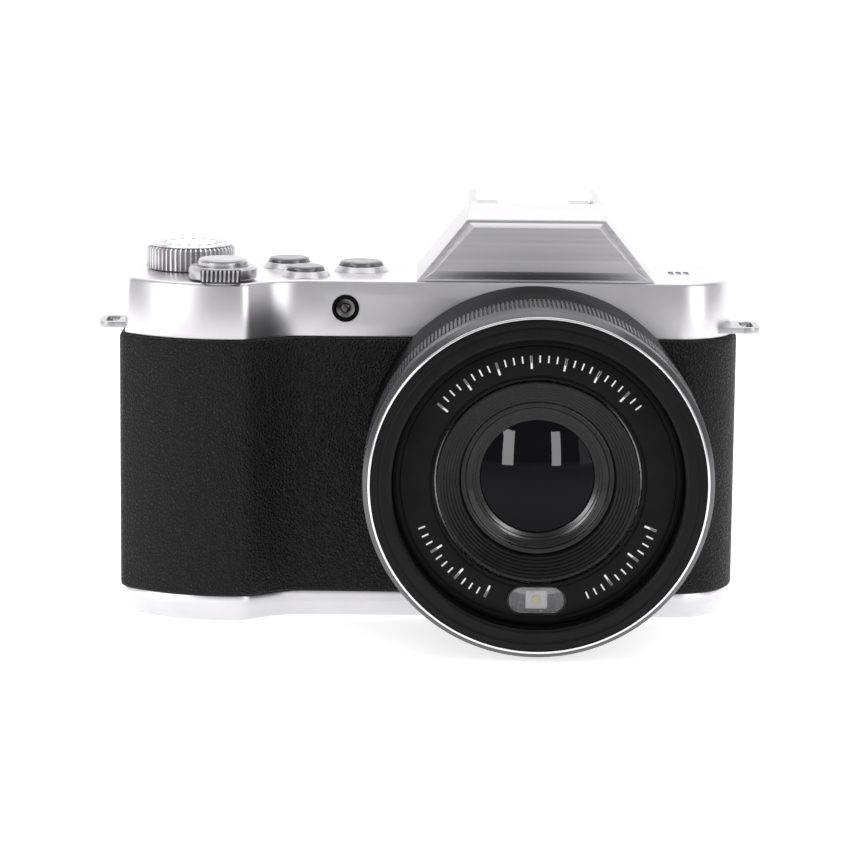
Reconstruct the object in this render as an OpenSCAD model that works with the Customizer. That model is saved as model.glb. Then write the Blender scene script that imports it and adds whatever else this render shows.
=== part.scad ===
// Compact digital camera with a hump-shaped finder, an accessory shoe and a telescoping zoom lens.
// The lens looks along -Y, +X is to the right as seen from in front of the lens, and +Z is up.
// The origin is the middle of the tripod socket's mouth, in the plane that the camera stands on.

/* [Body] */
// Width of the body across the leatherette
body_w = 108; // [106:0.5:110]
// Distance from the origin forward to the flat front beside the lens
front_d = 14.4; // [14:0.1:15]
// Distance from the origin back to the rear face
rear_d = 13.5; // [13:0.1:14.5]
// Height of the top plate
body_h = 59.5; // [59:0.1:60.5]
// Height of the seam between the bottom plate and the leatherette
skirt_h = 4.8; // [4.6:0.1:5.2]
// Height of the seam between the leatherette and the top cover
band_h = 49.7; // [49.3:0.1:50.4]
// Thickness of the leatherette
skin_t = 1.0; // [0.8:0.1:1.1]
// Wall thickness of the casings
wall = 1.3; // [1.1:0.1:1.5]

/* [Grip] */
// How far the grip stands forward of the flat front
grip_depth = 5.4; // [5:0.1:5.8]
// Radius of the grip's broad front curve
grip_r = 26.5; // [26:0.5:28]
// Distance of the grip's foremost line from the body's centre plane
grip_x = 35; // [34.5:0.1:35.5]
// Radius of the edge at the inner end of the grip
grip_nose_r = 2; // [1.9:0.1:2.2]

/* [Lens] */
// Distance of the lens axis from the body's centre plane
lens_x = 18.3; // [18:0.1:18.6]
// Height of the lens axis
lens_z = 30; // [29.9:0.1:30.5]
// Distance from the origin forward to the lens's front edge
lens_front = 47; // [46.5:0.1:48]
// Radius of the black base barrel
base_r = 29.05; // [28.9:0.05:29.1]
// Radius over the ribs of the control ring
ring_r = 29.3; // [29.2:0.05:29.4]
// Number of ribs on the control ring
ring_ribs = 120; // [90:10:150]
// Travel of the outer zoom barrel
outer_travel = 12; // [8:1:13]

/* [Top] */
// Radius of the mode dial
dial_r = 7.8; // [7.4:0.1:8]
// Number of ribs on the mode dial
dial_ribs = 60; // [40:4:72]
// Height of the mode dial's top above the top plate
dial_h = 4.7; // [4.2:0.1:5]
// Height of the zoom lever's top above the top plate
lever_h = 2.5; // [2.3:0.1:2.7]
// Height of the shutter button's top above the top plate
shutter_h = 3.8; // [3.6:0.1:4]

/* [Accessory shoe] */
// Width of the slot that takes the accessory foot
shoe_w = 18.7; // [18.6:0.05:18.8]
// Gap between the two lips
shoe_gap = 12.5; // [12.4:0.1:12.7]
// Height of the slot under the lips
shoe_slot = 2.05; // [2:0.05:2.15]

/* [Tripod socket] */
// Radius of the thread's core
thread_r = 2.6; // [2.55:0.05:2.65]
// Depth of the threaded hole
thread_d = 5.5; // [5:0.1:5.5]

/* [Hidden] */
$fn = 72;

// clearance of a sliding or turning fit
fit = 0.06;
// clearance between pieces that move apart
gap = 0.25;

silver = [0.8, 0.8, 0.81];
chrome = [0.9, 0.9, 0.92];
black = [0.09, 0.09, 0.1];
dark = [0.16, 0.16, 0.17];
board_green = [0.1, 0.35, 0.2];

half_w = body_w / 2;
// centres and angles of the arcs that make the body's outline, seen from above
rear_r = 8;
rear_right_c = [half_w - rear_r, rear_d - rear_r];
rear_left_c = [-half_w + rear_r, rear_d - rear_r];
grip_c = [-grip_x, grip_r - front_d - grip_depth];
grip_end_r = 3.6;
grip_end_dx = -half_w + grip_end_r + grip_x;
grip_end_dy = -sqrt(pow(grip_r - grip_end_r, 2) - pow(grip_end_dx, 2));
grip_end_c = grip_c + [grip_end_dx, grip_end_dy];
grip_end_a = 360 + atan2(grip_end_dy, grip_end_dx);
grip_nose_a = 270 + asin(3.1 / grip_r);
grip_nose_c = grip_c + (grip_r - grip_nose_r) * [cos(grip_nose_a), sin(grip_nose_a)];
grip_slope = 38;
// smallest radius left on the grip's inner edge when the outline moves inwards
nose_least = 0.8;
grip_blend_r = 9.3;
slope_top = grip_nose_c + grip_nose_r * [sin(grip_slope), -cos(grip_slope)];
slope_end_y = -front_d - grip_blend_r * (1 - cos(grip_slope));
slope_end_x = slope_top[0] + (slope_end_y - slope_top[1]) / tan(grip_slope);
grip_blend_c = [slope_end_x + grip_blend_r * sin(grip_slope), -front_d - grip_blend_r];
end_r = 10.8;
end_c = [half_w - end_r, -front_d + end_r];

// insets of the silver covers from the leatherette's outer face
band_in = 0.9;
skirt_in = 0.5;
// plane where the leatherette and the front casing meet the rear casing
split_y = rear_d - rear_r;
cover_inner = 2.2;
cover_roof = 1.3;
floor_t = 1.5;
// rounded lower edge of the bottom plate and upper edge of the top cover as [inset, height] steps
floor_steps = [[2, 0.6], [1.6, 1.3], [1.2, 2], [0.9, 2.7], [skirt_in, skirt_h]];
cover_steps = [[band_in, body_h - 3], [1.2, body_h - 0.8], [1.5, body_h - 0.4], [1.9, body_h]];

// radii and planes of the lens, the planes given as distances forward of the origin
seat_f = front_d - 0.45;
ring_back_f = 31.7;
ring_front_f = lens_front - 1.4;
sleeve_r = 27.2;
sleeve_bore_r = 25.3;
face_r = 27.9;
dish_r = 24.3;
dish_f = lens_front - 3.9;
throat_r = 17.25;
guide_r = 21.6;
guide_bore_r = 19.7;
cam_bore_r = 17.06;
outer_r = 17.0;
outer_bore_r = 13.0;
inner_r = outer_bore_r - fit;
glass_r = 9.6;
casing_hole_r = 22.4;
window_drop = 20;
window_w = 10.2;
window_h = 5.2;

// places of the top controls, with the radius of each button
dial_c = [-42.4, 2.5];
shutter_c = [-35.9, -13];
lever_r = 5.9;
cap_r = 4.3;
button_rear = [-25.1, 5.1, 3.65];
button_front = [-21.8, -6.6, 3.3];
button_side = [-12.2, 0.9, 3.85];
collar_h = 1.0;
collar_flare = 1.05;
button_h = 1.8;
mic_c = [43.9, 0.9];
mic_pitch = 1.35;
mic_w = 1;
mic_l = 4.8;
lamp_c = [-14.6, 54.7];
lamp_r = 2.35;

// finder hump
hump_base = 20.6;
hump_top = 12;
hump_h = 70.1;
cheek_h = 72.9;
hump_front = -12.6;
hump_lean = 1.1;
cheek_front = -10.6;
hump_rear = rear_d - 0.8;
shoe_floor = cheek_h - 4.5;
shoe_front = -8;
shoe_side = 10.2;
lip_t = 0.55;
eye_z = 63.2;

// rear controls
pad_c = [-35, 20];
pad_r = 8.5;
set_r = 4.05;
menu_c = [-43, 32];
playback_c = [-27, 32];
rear_button_r = 2.6;
thumb_pad_c = [-35, 42.6];
display_c = [13, 27.2];
display_w = 64;
display_h = 44;

// battery door: hinge axis, door plate and opening
hinge_x = -23.6;
hinge_r = 1.3;
pin_r = 0.5;
door_x0 = -49.4;
door_y0 = -11;
door_y1 = 4;
door_t = 1.2;

latch_x = -46;
latch_y = -3.5;

// places of the casing's screws in the bottom plate
screw_places = [[-18, 9], [46, 6], [12, 9.6], [-14, -8.6]];

// strap lugs: distance back and height, width, thickness and how far they stand out
lug_c = [-6, 50.5];
lug_w = 8.8;
lug_t = 1.0;
lug_reach = 3.7;

// front of the zoom lever's tab from its axis
tab_reach = 7.2;

// port flap on the right end
flap_y0 = -3.4;
flap_z0 = 17;
flap_z1 = 41;
flap_t = 1.3;
flap_hinge = [half_w - 0.1 - flap_t / 2, split_y - 0.3 - flap_t / 2];

function arc(c, r, a0, a1, n) =
    [for (i = [0:n]) c + r * [cos(a0 + (a1 - a0) * i / n), sin(a0 + (a1 - a0) * i / n)]];

// outline of the body seen from above, moved inwards by inset
function outline(inset) = concat(
    arc(rear_right_c, rear_r - inset, 0, 90, 8),
    arc(rear_left_c, rear_r - inset, 90, 180, 8),
    arc(grip_end_c, grip_end_r - inset, 180, grip_end_a, 5),
    arc(grip_c, grip_r - inset, grip_end_a + 2, grip_nose_a, 12),
    arc(grip_nose_c, max(grip_nose_r - inset, nose_least), grip_nose_a + 2, 270 + grip_slope, 5),
    arc(grip_blend_c, grip_blend_r + inset, 90 + grip_slope, 90, 6),
    arc(end_c, end_r - inset, 270, 360, 12));

// straight-walled slice of the body
module slice(inset, z0, z1) {
    translate([0, 0, z0]) linear_extrude(z1 - z0) polygon(outline(inset));
}

// slices on top of one another, each given as [inset, height of its top]
module stack(z0, levels) {
    for (i = [0:len(levels) - 1]) slice(levels[i][0], i == 0 ? z0 : levels[i - 1][1], levels[i][1]);
}

// box between two corners
module block(low, high) {
    translate(low) cube(high - low);
}

// everything in front of a plane across the depth
module front_of(y) {
    block([-half_w - 5, -60, -5], [half_w + 5, y, 90]);
}

// piece turned about the lens axis, its profile given as [radius, distance forward]
module turned(profile) {
    translate([lens_x, 0, lens_z]) rotate([90, 0, 0]) rotate_extrude() polygon(profile);
}

// cylinder on the lens axis between two distances forward
module lens_rod(r, f0, f1) {
    translate([lens_x, -f0, lens_z]) rotate([90, 0, 0]) cylinder(r = r, h = f1 - f0);
}

// cylinder pointing forwards from a point on the front
module forward_rod(x, z, r, y_back, y_front) {
    translate([x, y_back, z]) rotate([90, 0, 0]) cylinder(r = r, h = y_back - y_front);
}

// cylinder pointing backwards on the rear face
module rear_rod(c, r, y0, y1) {
    translate([c[0], y1, c[1]]) rotate([90, 0, 0]) cylinder(r = r, h = y1 - y0);
}

// rectangle with round corners
module round_rect(w, h, r) {
    square([w - 2 * r, h], center = true);
    square([w, h - 2 * r], center = true);
    for (sx = [-1, 1], sz = [-1, 1]) {
        translate([sx * (w / 2 - r), sz * (h / 2 - r)]) circle(r = r);
    }
}

// plate with round corners standing across the depth
module rear_plate(c, w, h, r, y0, y1) {
    translate([c[0], y1, c[1]]) rotate([90, 0, 0]) linear_extrude(y1 - y0) round_rect(w, h, r);
}

// ribbed disc outline
module ribbed(r, ribs, depth) {
    polygon([for (i = [0:2 * ribs - 1])
        let (q = i % 2 == 0 ? r : r - depth) q * [cos(180 * i / ribs), sin(180 * i / ribs)]]);
}

module front_casing() {
    color(dark) difference() {
        slice(skin_t, skirt_h, band_h);
        slice(skin_t + wall, skirt_h - 1, band_h + 1);
        block([-half_w, split_y, 0], [half_w, rear_d + 1, 80]);
        lens_rod(casing_hole_r, 5, 30);
        flap_opening();
    }
}

module rear_casing() {
    color(black) difference() {
        slice(0, skirt_h, band_h);
        intersection() {
            slice(1.5, skirt_h - 1, band_h + 1);
            front_of(rear_d - 1.6);
        }
        front_of(split_y + 0.1);
        rear_plate(display_c, display_w - 6, display_h - 4, 1, 5, 20);
        rear_plate(display_c, display_w, display_h, 2, rear_d - 1, 20);
        rear_rod(pad_c, pad_r + 0.2, 5, 20);
        rear_rod(menu_c, rear_button_r + 0.2, 5, 20);
        rear_rod(playback_c, rear_button_r + 0.2, 5, 20);
    }
}

module leatherette() {
    color(black) difference() {
        slice(0, skirt_h, band_h);
        slice(skin_t, skirt_h - 1, band_h + 1);
        block([-half_w - 1, split_y - 0.1, 0], [half_w + 1, rear_d + 1, 80]);
        lens_rod(base_r + 0.05, 5, 30);
        flap_opening();
    }
}

module thumb_pad() {
    color(black) rear_plate(thumb_pad_c, 22, 11, 3, rear_d, rear_d + 1.1);
}

module top_cover() {
    color(silver) difference() {
        stack(band_h, cover_steps);
        slice(cover_inner, band_h - 1, body_h - cover_roof);
        lens_rod(casing_hole_r, 5, 30);
        forward_rod(lamp_c[0], lamp_c[1], lamp_r, -5, -30);
        translate([dial_c[0], dial_c[1], 50]) cylinder(r = 3 + fit, h = 20);
        translate([shutter_c[0], shutter_c[1], 50]) cylinder(r = 3.4 + fit, h = 20);
        for (b = [button_rear, button_front, button_side]) {
            translate([b[0], b[1], 50]) cylinder(r = b[2] + fit, h = 20);
        }
        for (i = [-1:1]) {
            translate([mic_c[0] + mic_pitch * i, mic_c[1], body_h])
                cube([mic_w, mic_l, 4], center = true);
        }
        block([lens_x - 9, -8, 57], [lens_x + 9, rear_d - 5, 61]);
        for (side = [-1, 1]) lug_blank(side);
    }
}

// cross-section of the hump above the top plate
module hump_section() {
    cheek = hump_top - 0.4;
    polygon([[-hump_base, body_h], [hump_base, body_h], [hump_top, hump_h],
             [cheek, cheek_h - 0.7], [cheek - 0.7, cheek_h],
             [0.7 - cheek, cheek_h], [-cheek, cheek_h - 0.7], [-hump_top, hump_h]]);
}

// side view of what is cut away in front of the hump: its leaning face and the cheeks' front ends
module hump_front_cut() {
    cheek_top = cheek_front + cheek_h - hump_h + 1;
    translate([lens_x - 25, 0, 0]) rotate([90, 0, 90]) linear_extrude(50)
        polygon([[-30, body_h - 1], [hump_front, body_h - 1], [hump_front, body_h],
                 [hump_front + hump_lean, hump_h], [cheek_front, hump_h],
                 [cheek_top, cheek_h + 1], [-30, cheek_h + 1]]);
}

module finder_housing() {
    cavity_base = hump_base - 2.2;
    cavity_top = hump_top + 1;
    color(silver) difference() {
        translate([lens_x, hump_rear, 0]) rotate([90, 0, 0])
            linear_extrude(hump_rear - hump_front) hump_section();
        hump_front_cut();
        // hollow for the finder
        translate([lens_x, hump_rear - 1.2, 0]) rotate([90, 0, 0])
            linear_extrude(hump_rear - hump_front - 4)
                polygon([[-cavity_base, body_h - 1], [cavity_base, body_h - 1],
                         [cavity_top, shoe_floor - 2.3], [-cavity_top, shoe_floor - 2.3]]);
        // recess for the accessory shoe, open to the rear
        block([lens_x - shoe_side, shoe_front, shoe_floor - 1.1],
              [lens_x + shoe_side, rear_d + 2, 80]);
        rear_plate([lens_x, eye_z], 15, 6.4, 1.5, 8, 20);
    }
}

// raised panel with chamfered edges on the leaning face
module finder_face() {
    lean = atan(hump_lean / (hump_h - body_h));
    low = body_h + 0.4;
    high = hump_h - 0.4;
    side = (hump_base - hump_top) / (hump_h - body_h);
    half_low = hump_base - 1.1;
    half_high = half_low - side * (high - low);
    color(silver) translate([lens_x, hump_front, body_h]) rotate([-lean, 0, 0])
        translate([0, 0, -body_h]) rotate([90, 0, 0]) hull() {
            linear_extrude(0.2)
                polygon([[-half_low, low], [half_low, low], [half_high, high], [-half_high, high]]);
            linear_extrude(0.9)
                polygon([[1.9 - half_low, low + 1.4], [half_low - 1.9, low + 1.4],
                         [half_high - 0.7, high - 0.9], [0.7 - half_high, high - 0.9]]);
        }
}

module shoe_base() {
    color(black) difference() {
        block([lens_x - shoe_w / 2, shoe_front + 0.6, shoe_floor - 1.1],
              [lens_x + shoe_w / 2, hump_rear, shoe_floor]);
        for (x = [-6, 6], y = [-4, 9]) {
            translate([lens_x + x, y, shoe_floor - 0.5]) cylinder(r = 1.25, h = 2);
        }
    }
    // countersunk screws that hold the shoe down
    color(chrome) for (x = [-6, 6], y = [-4, 9]) {
        translate([lens_x + x, y, shoe_floor - 0.45]) difference() {
            cylinder(r = 1.15, h = 0.4);
            translate([-0.8, -0.15, 0.2]) cube([1.6, 0.3, 1]);
            translate([-0.15, -0.8, 0.2]) cube([0.3, 1.6, 1]);
        }
    }
}

// two channels whose lips hold the accessory foot down
module shoe_rails() {
    lip_z = shoe_floor + shoe_slot;
    color(chrome) for (side = [-1, 1]) {
        translate([lens_x, 0, 0]) mirror([side < 0 ? 1 : 0, 0, 0]) {
            block([shoe_w / 2, shoe_front + 0.5, shoe_floor - 1.1],
                  [shoe_side - gap / 2, hump_rear, lip_z + lip_t]);
            block([shoe_gap / 2, shoe_front + 0.5, lip_z],
                  [shoe_w / 2, hump_rear, lip_z + lip_t]);
        }
    }
}

// leaf spring whose arms press the accessory foot up against the lips
module shoe_spring() {
    color(chrome) for (side = [-1, 1]) {
        translate([lens_x, 0, 0]) mirror([side < 0 ? 1 : 0, 0, 0])
            translate([shoe_w / 2 - 2.4, 0, 0]) rotate([90, 0, 90]) linear_extrude(2.2)
                polygon([[-6.8, shoe_floor], [-6.8, shoe_floor + 0.25], [-2, shoe_floor + 0.35],
                         [3, shoe_floor + 0.75], [8, shoe_floor + 0.35], [11, shoe_floor + 0.25],
                         [11, shoe_floor]]);
    }
}

module shoe_contacts() {
    color(chrome) translate([lens_x, 2.5, shoe_floor]) {
        cylinder(r = 1.6, h = 0.18);
        for (p = [[-3.6, 3.4], [3.6, 3.4], [0, 5.2]]) {
            translate(p) cylinder(r = 0.8, h = 0.15);
        }
    }
}

// opening for the battery door in the bottom plate, as far as the round seat of its hinge edge
module door_opening() {
    block([door_x0, door_y0, -1], [hinge_x + hinge_r + gap, door_y1, floor_t + 4]);
}

module bottom_plate() {
    color(silver) difference() {
        union() {
            difference() {
                stack(0, floor_steps);
                slice(2.5, floor_t, skirt_h + 1);
            }
            // lugs that carry the battery door's hinge pin
            for (y = [door_y0 - 1.8, door_y1 + 0.3]) {
                block([hinge_x - 1.3, y, floor_t - 0.3], [hinge_x + 1.3, y + 1.5, 2 * hinge_r]);
            }
        }
        door_opening();
        translate([hinge_x, door_y1 + 1.9, hinge_r]) rotate([90, 0, 0])
            cylinder(r = pin_r, h = door_y1 - door_y0 + 3.8);
        translate([0, 0, -1]) cylinder(r = 5.2, h = 10);
        for (p = screw_places) translate([p[0], p[1], -1]) cylinder(r = 1.65, h = 10);
    }
}

module tripod_bush() {
    color(chrome) difference() {
        union() {
            cylinder(r = 5.15, h = thread_d + 0.8);
            translate([0, 0, floor_t]) cylinder(r = 7, h = 1.2);
        }
        translate([0, 0, -1]) cylinder(r = thread_r, h = thread_d + 1);
    }
}

module casing_screws() {
    color(chrome) for (p = screw_places) {
        translate([p[0], p[1], 0.2]) difference() {
            union() {
                cylinder(r = 1.6, h = 1);
                cylinder(r = 0.9, h = 4);
            }
            translate([-1, -0.2, -1]) cube([2, 0.4, 1.4]);
            translate([-0.2, -1, -1]) cube([0.4, 2, 1.4]);
        }
    }
}

// flat loop on one end of the body
module lug_blank(side) {
    translate([side * (half_w - 2.2), lug_c[0], lug_c[1]]) linear_extrude(lug_t) {
        translate([side * (lug_reach), 0]) round_rect(4.4, lug_w, 2);
        translate([-side * 0.4, 0]) square([lug_reach + 3, lug_w], center = true);
    }
}

module strap_lug(side) {
    color(chrome) difference() {
        lug_blank(side);
        translate([side * (half_w + lug_reach - 2.25), lug_c[0], lug_c[1] - 1])
            linear_extrude(lug_t + 2) round_rect(2.2, lug_w - 2.8, 0.9);
    }
}

module strap_lug_left() { strap_lug(-1); }

module strap_lug_right() { strap_lug(1); }

module focus_lamp_bezel() {
    color(black) translate([lamp_c[0], -11.6, lamp_c[1]]) rotate([90, 0, 0])
        rotate_extrude() polygon([[1.1, 0], [lamp_r, 0], [lamp_r, 2.1], [2, 2.1], [1.7, 1.3],
                                  [1.7, 0.6], [1.1, 0.6]]);
}

module focus_lamp_lens() {
    color([0.4, 0.05, 0.08]) translate([lamp_c[0], -12.2, lamp_c[1]]) rotate([90, 0, 0])
        rotate_extrude() polygon(concat([[0, 0], [1.65, 0]],
            [for (a = [20:-4:0]) [1.65 * sin(a) / sin(20), 0.4 + 4.8 * (cos(a) - cos(20))]]));
}

module frame_plate() {
    color([0.55, 0.56, 0.58]) difference() {
        block([-21, 2, thread_d + 1.1], [44.5, 2.8, band_h - 1.2]);
        rear_plate([lens_x, lens_z], 12, 9, 1, 0, 5);
        for (x = [-17, 41], z = [10, 45]) rear_rod([x, z], 1.2, 0, 5);
    }
}

module main_board() {
    color(board_green) {
        block([-20, 4.4, 7], [46, 5.4, 48]);
        for (c = [[-8, 20, 12, 12], [12, 34, 9, 9], [26, 16, 14, 8], [36, 36, 7, 7]]) {
            block([c[0], 5.3, c[1]], [c[0] + c[2], 6.4, c[1] + c[3]]);
        }
    }
}

module control_board() {
    color(board_green) {
        block([-47, -9, 53.4], [-6, 9, 54.4]);
        block([-42, -14.5, 53.4], [-30, -8.9, 54.4]);
        for (c = [shutter_c, dial_c, button_rear, button_front, button_side]) {
            translate([c[0], max(c[1], -12.5), 54.3]) cylinder(r = 1.8, h = 0.4);
        }
    }
}

module battery() {
    color([0.2, 0.22, 0.28]) difference() {
        block([-48.9, -10.6, 5.4], [-26, -1.9, 44]);
        for (x = [-45, -41, -37]) block([x, -8, 43.4], [x + 2.4, -4, 45]);
    }
}

module memory_card() {
    color([0.12, 0.16, 0.3]) translate([-48.9, 2.7, 5]) rotate([90, 0, 0]) linear_extrude(2.1)
        polygon([[0, 0], [24, 0], [24, 32], [4, 32], [0, 28]]);
}

module image_sensor() {
    color(board_green) block([lens_x - 9, 0.1, lens_z - 8], [lens_x + 9, 0.9, lens_z + 8]);
    color([0.3, 0.35, 0.45])
        block([lens_x - 4.6, -1.3, lens_z - 3.8], [lens_x + 4.6, 0.05, lens_z + 3.8]);
}

module lens_base_barrel() {
    spigot_r = casing_hole_r - 0.1;
    color(black) turned([
        [guide_r + 0.1, 11.5], [spigot_r, 11.5], [spigot_r, seat_f], [base_r, seat_f],
        [base_r, ring_back_f - 0.3], [base_r - 0.3, ring_back_f], [sleeve_r, ring_back_f],
        [sleeve_r, ring_front_f - 0.1], [sleeve_bore_r, ring_front_f - 0.1],
        [sleeve_bore_r, seat_f + 1.6], [guide_r + 0.1, seat_f + 1.6]]);
}

module lens_guide_sleeve() {
    color(dark) turned([
        [6.6, 1.4], [guide_r, 1.4], [guide_r, dish_f - 2.3], [dish_r - 0.1, dish_f - 2.3],
        [dish_r - 0.1, dish_f - 0.95], [guide_bore_r - 0.5, dish_f - 0.95],
        [guide_bore_r - 0.5, dish_f - 2.1], [guide_bore_r, dish_f - 2.1], [guide_bore_r, 3],
        [6.6, 3]]);
}

module lens_bevel_ring() {
    color(chrome) turned([
        [face_r + 0.05, ring_front_f + 0.05], [ring_r, ring_front_f + 0.05],
        [ring_r, ring_front_f + 0.2], [face_r + 0.2, lens_front], [face_r + 0.05, lens_front]]);
}

module lens_face_ring() {
    color(black) turned([
        [sleeve_r - 0.8, ring_front_f], [face_r, ring_front_f], [face_r, lens_front - 0.25],
        [dish_r + 0.4, lens_front - 0.25], [dish_r + 0.05, lens_front - 0.6],
        [dish_r, dish_f - 2.25], [sleeve_bore_r - 0.1, dish_f - 2.25],
        [sleeve_bore_r - 0.1, ring_front_f]]);
}

// stadium-shaped window of the macro light in the dish
module macro_window_blank(w, h) {
    square([w - h, h], center = true);
    for (s = [-1, 1]) translate([s * (w - h) / 2, 0]) circle(r = h / 2);
}

module lens_dish_ring() {
    color(black) difference() {
        turned([[throat_r, dish_f - 0.9], [dish_r - 0.06, dish_f - 0.9],
                [dish_r - 0.06, dish_f - 0.2], [throat_r, dish_f + 0.1]]);
        translate([lens_x, -dish_f + 5, lens_z - window_drop]) rotate([90, 0, 0])
            linear_extrude(10) macro_window_blank(window_w, window_h);
    }
}

module macro_light_window() {
    color([0.85, 0.85, 0.85, 0.8]) translate([lens_x, 0.15 - dish_f, lens_z - window_drop])
        rotate([90, 0, 0]) linear_extrude(0.35)
            macro_window_blank(window_w - 0.1, window_h - 0.1);
}

module macro_led() {
    color([0.95, 0.9, 0.4]) translate([lens_x, 0.85 - dish_f, lens_z - window_drop]) {
        translate([-1.8, -0.3, -1.5]) cube([3.6, 0.3, 3]);
        rotate([90, 0, 0]) translate([0, 0, 0.25]) cylinder(r = 0.75, h = 0.3);
    }
}

module zoom_motor() {
    color([0.6, 0.6, 0.62]) forward_rod(-8.5, 16, 4, 1.2, -9);
    color(dark) block([-12, -11.4, 12.5], [-4.2, -9, 19.5]);
}

module button_collars() {
    color(chrome) for (b = [button_rear, button_front, button_side]) {
        inner = b[2] + fit;
        translate([b[0], b[1], body_h]) rotate_extrude()
            polygon([[inner, 0], [b[2] + collar_flare, 0], [b[2] + collar_flare, 0.12],
                     [inner + 0.15, collar_h], [inner, collar_h]]);
    }
}

module display_module() {
    color(dark) block([display_c[0] - 30, 7, 6.4], [display_c[0] + 30, rear_d - 1.7, 47.8]);
}

module display_window() {
    color([0.05, 0.05, 0.06])
        rear_plate(display_c, display_w - 0.1, display_h - 0.1, 1.95, rear_d - 1, rear_d - 0.05);
}

module eyepiece_frame() {
    color(black) difference() {
        rear_plate([lens_x, eye_z - 0.2], 20, 8.8, 2, hump_rear, rear_d + 2.6);
        rear_plate([lens_x, eye_z - 0.2], 13, 5.6, 1, 5, 30);
    }
}

module eyepiece_glass() {
    color([0.5, 0.55, 0.6, 0.5]) rear_plate([lens_x, eye_z], 14.9, 6.3, 1.45, 10.8, hump_rear);
}

module finder_display() {
    color(dark) block([lens_x - 7.5, 1, body_h - 1], [lens_x + 7.5, 3.4, 65.8]);
}

module usb_socket() {
    color(chrome) difference() {
        block([44.8, -0.6, 24], [flap_hinge[0] - 1.2, 2.6, 33]);
        block([46, -0.2, 24.4], [60, 2.2, 32.6]);
    }
    color(black) block([45.9, 0.6, 25.4], [50.6, 1.3, 31.6]);
}

module door_hinge_pin() {
    color(chrome) translate([hinge_x, door_y1 + 1.8, hinge_r]) rotate([90, 0, 0])
        cylinder(r = pin_r - 0.02, h = door_y1 - door_y0 + 3.6);
}

module control_ring() {
    color(silver) difference() {
        translate([lens_x, -ring_back_f - 0.12, lens_z]) rotate([90, 0, 0])
            linear_extrude(ring_front_f - ring_back_f - 0.24) ribbed(ring_r, ring_ribs, 0.3);
        lens_rod(sleeve_r + fit, ring_back_f - 2, lens_front);
    }
}

module cam_ring() {
    color([0.7, 0.66, 0.5]) difference() {
        turned([[cam_bore_r, 12], [guide_bore_r - fit, 12], [guide_bore_r - fit, dish_f - 2.4],
                [cam_bore_r, dish_f - 2.4]]);
        // windows along the cam ring
        for (a = [0, 120, 240]) {
            translate([lens_x, -24, lens_z]) rotate([0, a, 0]) block([15, -6, -2], [25, 6, 2]);
        }
    }
}

module outer_zoom_barrel() {
    front = dish_f - 0.1;
    color(black) turned([
        [outer_bore_r, 10], [outer_r, 10], [outer_r, front], [outer_r - 0.8, front],
        [outer_r - 0.9, front - 0.6], [outer_r - 1.7, front - 0.6], [outer_r - 1.8, front - 1.3],
        [outer_r - 2.5, front - 1.3], [outer_r - 2.6, front - 2], [outer_r - 3.3, front - 2],
        [outer_r - 3.4, front - 2.7], [outer_bore_r, front - 2.7]]);
}

module inner_zoom_barrel() {
    front = dish_f - 3.8;
    color(black) turned([
        [inner_r - 1.3, 12], [inner_r, 12], [inner_r, front], [inner_r - 1.2, front],
        [inner_r - 1.5, front - 0.5], [inner_r - 2.3, front - 0.6], [inner_r - 2.5, front - 1.2],
        [glass_r + 0.05, front - 1.5], [glass_r + 0.05, front - 7], [inner_r - 1.3, front - 8]]);
}

module front_lens() {
    edge = dish_f - 5.6;
    dome = 29.6;
    half_a = asin(glass_r / dome);
    color([0.1, 0.1, 0.14]) turned(concat(
        [[0, edge - 3.6], [glass_r, edge - 3.6]],
        [for (i = [6:-1:0]) let (a = half_a * i / 6)
            [dome * sin(a), edge + dome * (cos(a) - cos(half_a))]]));
}

module mode_dial() {
    color(silver) translate([dial_c[0], dial_c[1], body_h]) {
        translate([0, 0, gap]) linear_extrude(dial_h - 0.5 - gap) ribbed(dial_r, dial_ribs, 0.35);
        translate([0, 0, -4.4]) cylinder(r = 3, h = 5);
    }
}

module mode_dial_cap() {
    color(chrome) translate([dial_c[0], dial_c[1], body_h + dial_h - 0.5])
        cylinder(r1 = dial_r - 0.25, r2 = dial_r - 0.75, h = 0.5);
}

module zoom_lever() {
    color(silver) translate([shutter_c[0], shutter_c[1], body_h]) difference() {
        union() {
            translate([0, 0, gap]) cylinder(r = lever_r, h = lever_h - gap);
            translate([0, 0, -2]) cylinder(r = 3.4, h = 3);
            translate([0, 0, -2.4]) cylinder(r = 4.2, h = 0.7);
            // ribbed tab on the front
            translate([0, 0, gap]) linear_extrude(lever_h - gap - 0.15)
                polygon(concat([[-3.5, 0], [-3.5, -tab_reach + 0.3]],
                    [for (i = [0:16]) [-3.2 + 0.4 * i, -tab_reach + (i % 2) * 0.35]],
                    [[3.5, -tab_reach + 0.3], [3.5, 0]]));
        }
        translate([0, 0, 1.1]) cylinder(r = cap_r + 0.12, h = 5);
        translate([0, 0, -5]) cylinder(r = 2.3, h = 10);
    }
}

module shutter_button() {
    color(silver) translate([shutter_c[0], shutter_c[1], body_h]) {
        translate([0, 0, lever_h - 0.1]) cylinder(r = cap_r, h = shutter_h - lever_h - 0.25);
        translate([0, 0, shutter_h - 0.36])
            cylinder(r1 = cap_r, r2 = cap_r - 0.35, h = 0.36);
        translate([0, 0, -3.6]) cylinder(r = 2.3 - fit, h = lever_h + 3.6);
    }
}

// push button that rises through its collar, held from below by a flange
module top_button(b) {
    color(silver) translate([b[0], b[1], body_h]) {
        translate([0, 0, -2.2]) cylinder(r = b[2], h = button_h + 2.2 - 0.3);
        translate([0, 0, button_h - 0.31]) cylinder(r1 = b[2], r2 = b[2] - 0.3, h = 0.31);
        translate([0, 0, -2.3]) cylinder(r = b[2] + 0.6, h = 0.7);
    }
}

module top_button_rear() { top_button(button_rear); }

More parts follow.
